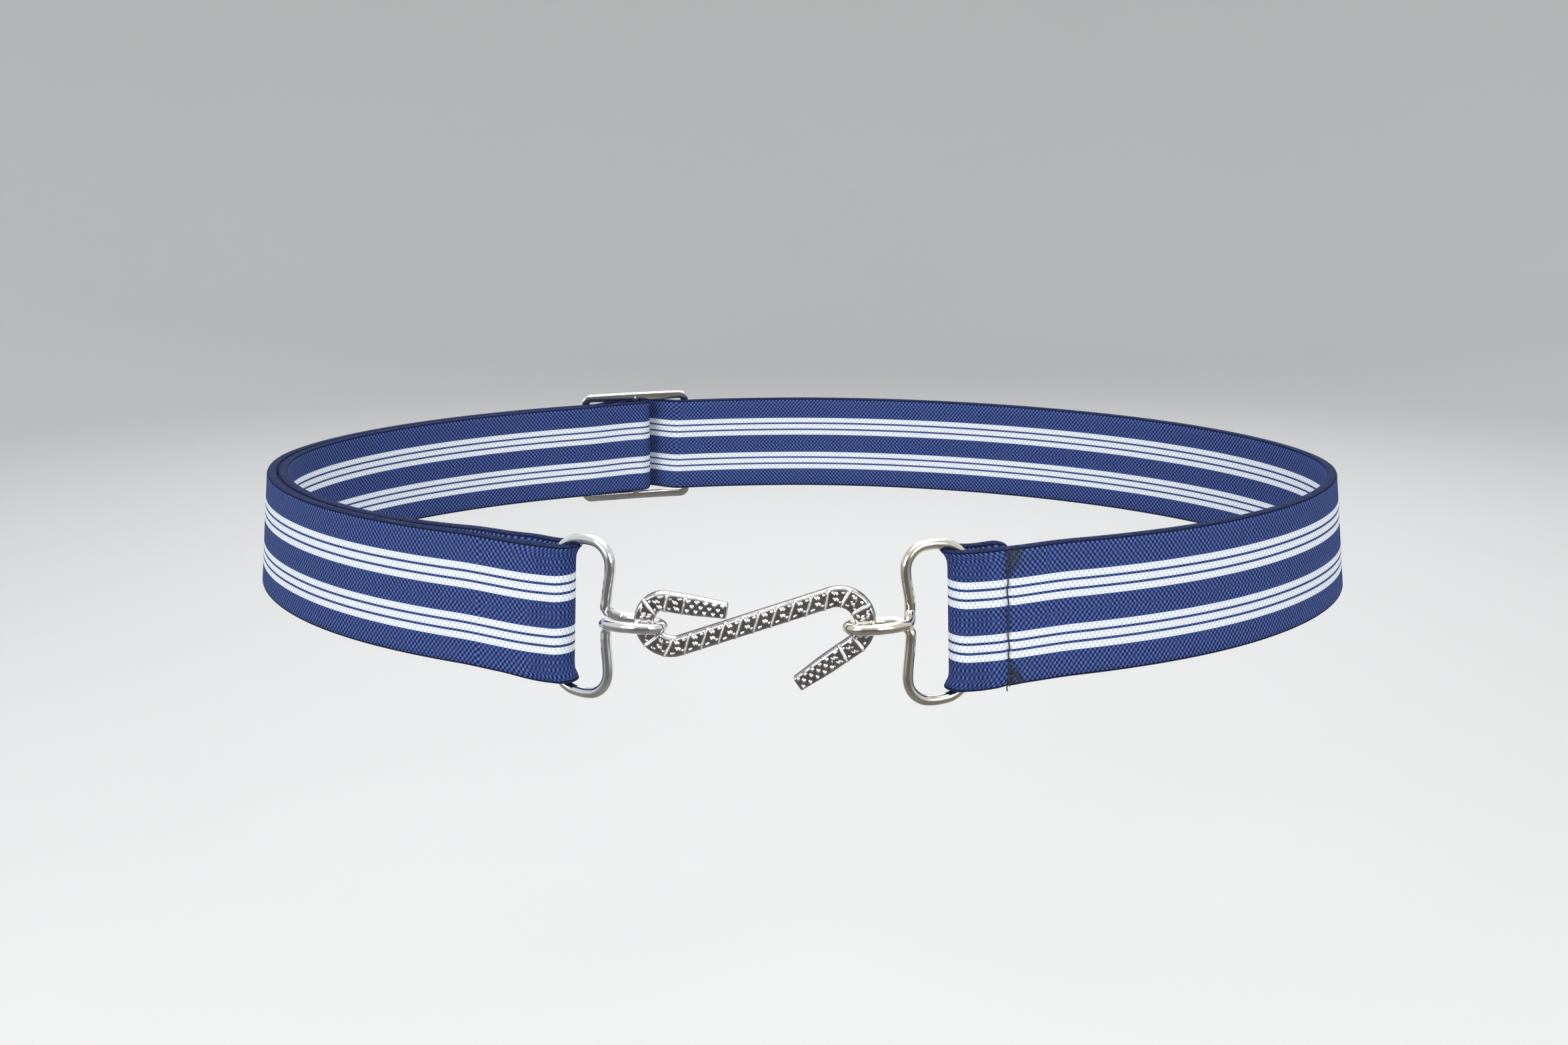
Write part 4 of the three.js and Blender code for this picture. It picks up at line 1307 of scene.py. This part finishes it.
def make_surroundings():
    """What bright metal mirrors: a bright sky, a duller floor, and a dark room before and behind."""
    world = bpy.data.worlds.new("studio")
    world.use_nodes = True
    tree = world.node_tree
    parts = tree.nodes.new("ShaderNodeSeparateXYZ")
    tree.links.new(tree.nodes.new("ShaderNodeTexCoord").outputs["Generated"], parts.inputs[0])
    forward, level = parts.outputs[1], parts.outputs[2]
    base = blend_colours(tree, spread(tree, level, *HORIZON_RANGE), GROUND_TONE, SKY_TONE)
    behind = blend_colours(tree, spread(tree, forward, *BACK_RANGE), base, BACK_TONE)
    ahead = spread(tree, calc(tree, "MULTIPLY", forward, -1.0), *ROOM_AHEAD_RANGE)
    opposite = spread(tree, forward, *ROOM_BEHIND_RANGE)
    low = spread(tree, calc(tree, "ABSOLUTE", level), *ROOM_HEIGHT_RANGE)
    dark = calc(tree, "MULTIPLY", calc(tree, "MAXIMUM", ahead, opposite), low)
    room = blend_colours(tree, dark, behind, ROOM_TONE)
    background = tree.nodes["Background"]
    tree.links.new(room, background.inputs["Color"])
    background.inputs["Strength"].default_value = SURROUNDINGS_STRENGTH
    bpy.context.scene.world = world


def light_studio():
    make_surroundings()
    for name, values in LIGHTS.items():
        add_light(name, **values)
    view = bpy.context.scene.view_settings
    view.view_transform = "Standard"
    view.look = "None"


def place_camera():
    camera = bpy.data.cameras.new("photo camera")
    camera.sensor_fit = "HORIZONTAL"
    camera.angle = CAMERA_ANGLE
    camera.clip_start = CAMERA_NEAREST
    camera.clip_end = CAMERA_FARTHEST
    holder = bpy.data.objects.new("photo camera", camera)
    right, up = Vector(CAMERA_RIGHT).normalized(), Vector(CAMERA_UP).normalized()
    back = right.cross(up)
    turn = Matrix((right, back.cross(right), back)).transposed()
    holder.matrix_world = Matrix.Translation(CAMERA_PLACE) @ turn.to_4x4()
    bpy.context.scene.collection.objects.link(holder)
    bpy.context.scene.camera = holder


def main():
    place_camera()
    light_studio()
    make_sweep(make_floor_finish())
    silver = make_bright_metal("silvery wire", **SILVERY_WIRE)
    nickel = make_bright_metal("yellowish wire", **YELLOWISH_WIRE)
    plate = make_bright_metal("nickel plate", **NICKEL_PLATE)
    make_strap(make_webbing())
    make_thread_piece(make_thread())
    make_loop("wire_loop_left", "loop_left", LEFT_BAR, LEFT_CROSSING, EYE_RISE - LEFT_EYE_SAG, silver)
    make_loop("wire_loop_right", "loop_right", RIGHT_BAR, RIGHT_CROSSING, EYE_RISE, nickel)
    make_hook(make_cast_metal())
    make_slide(plate)


main()
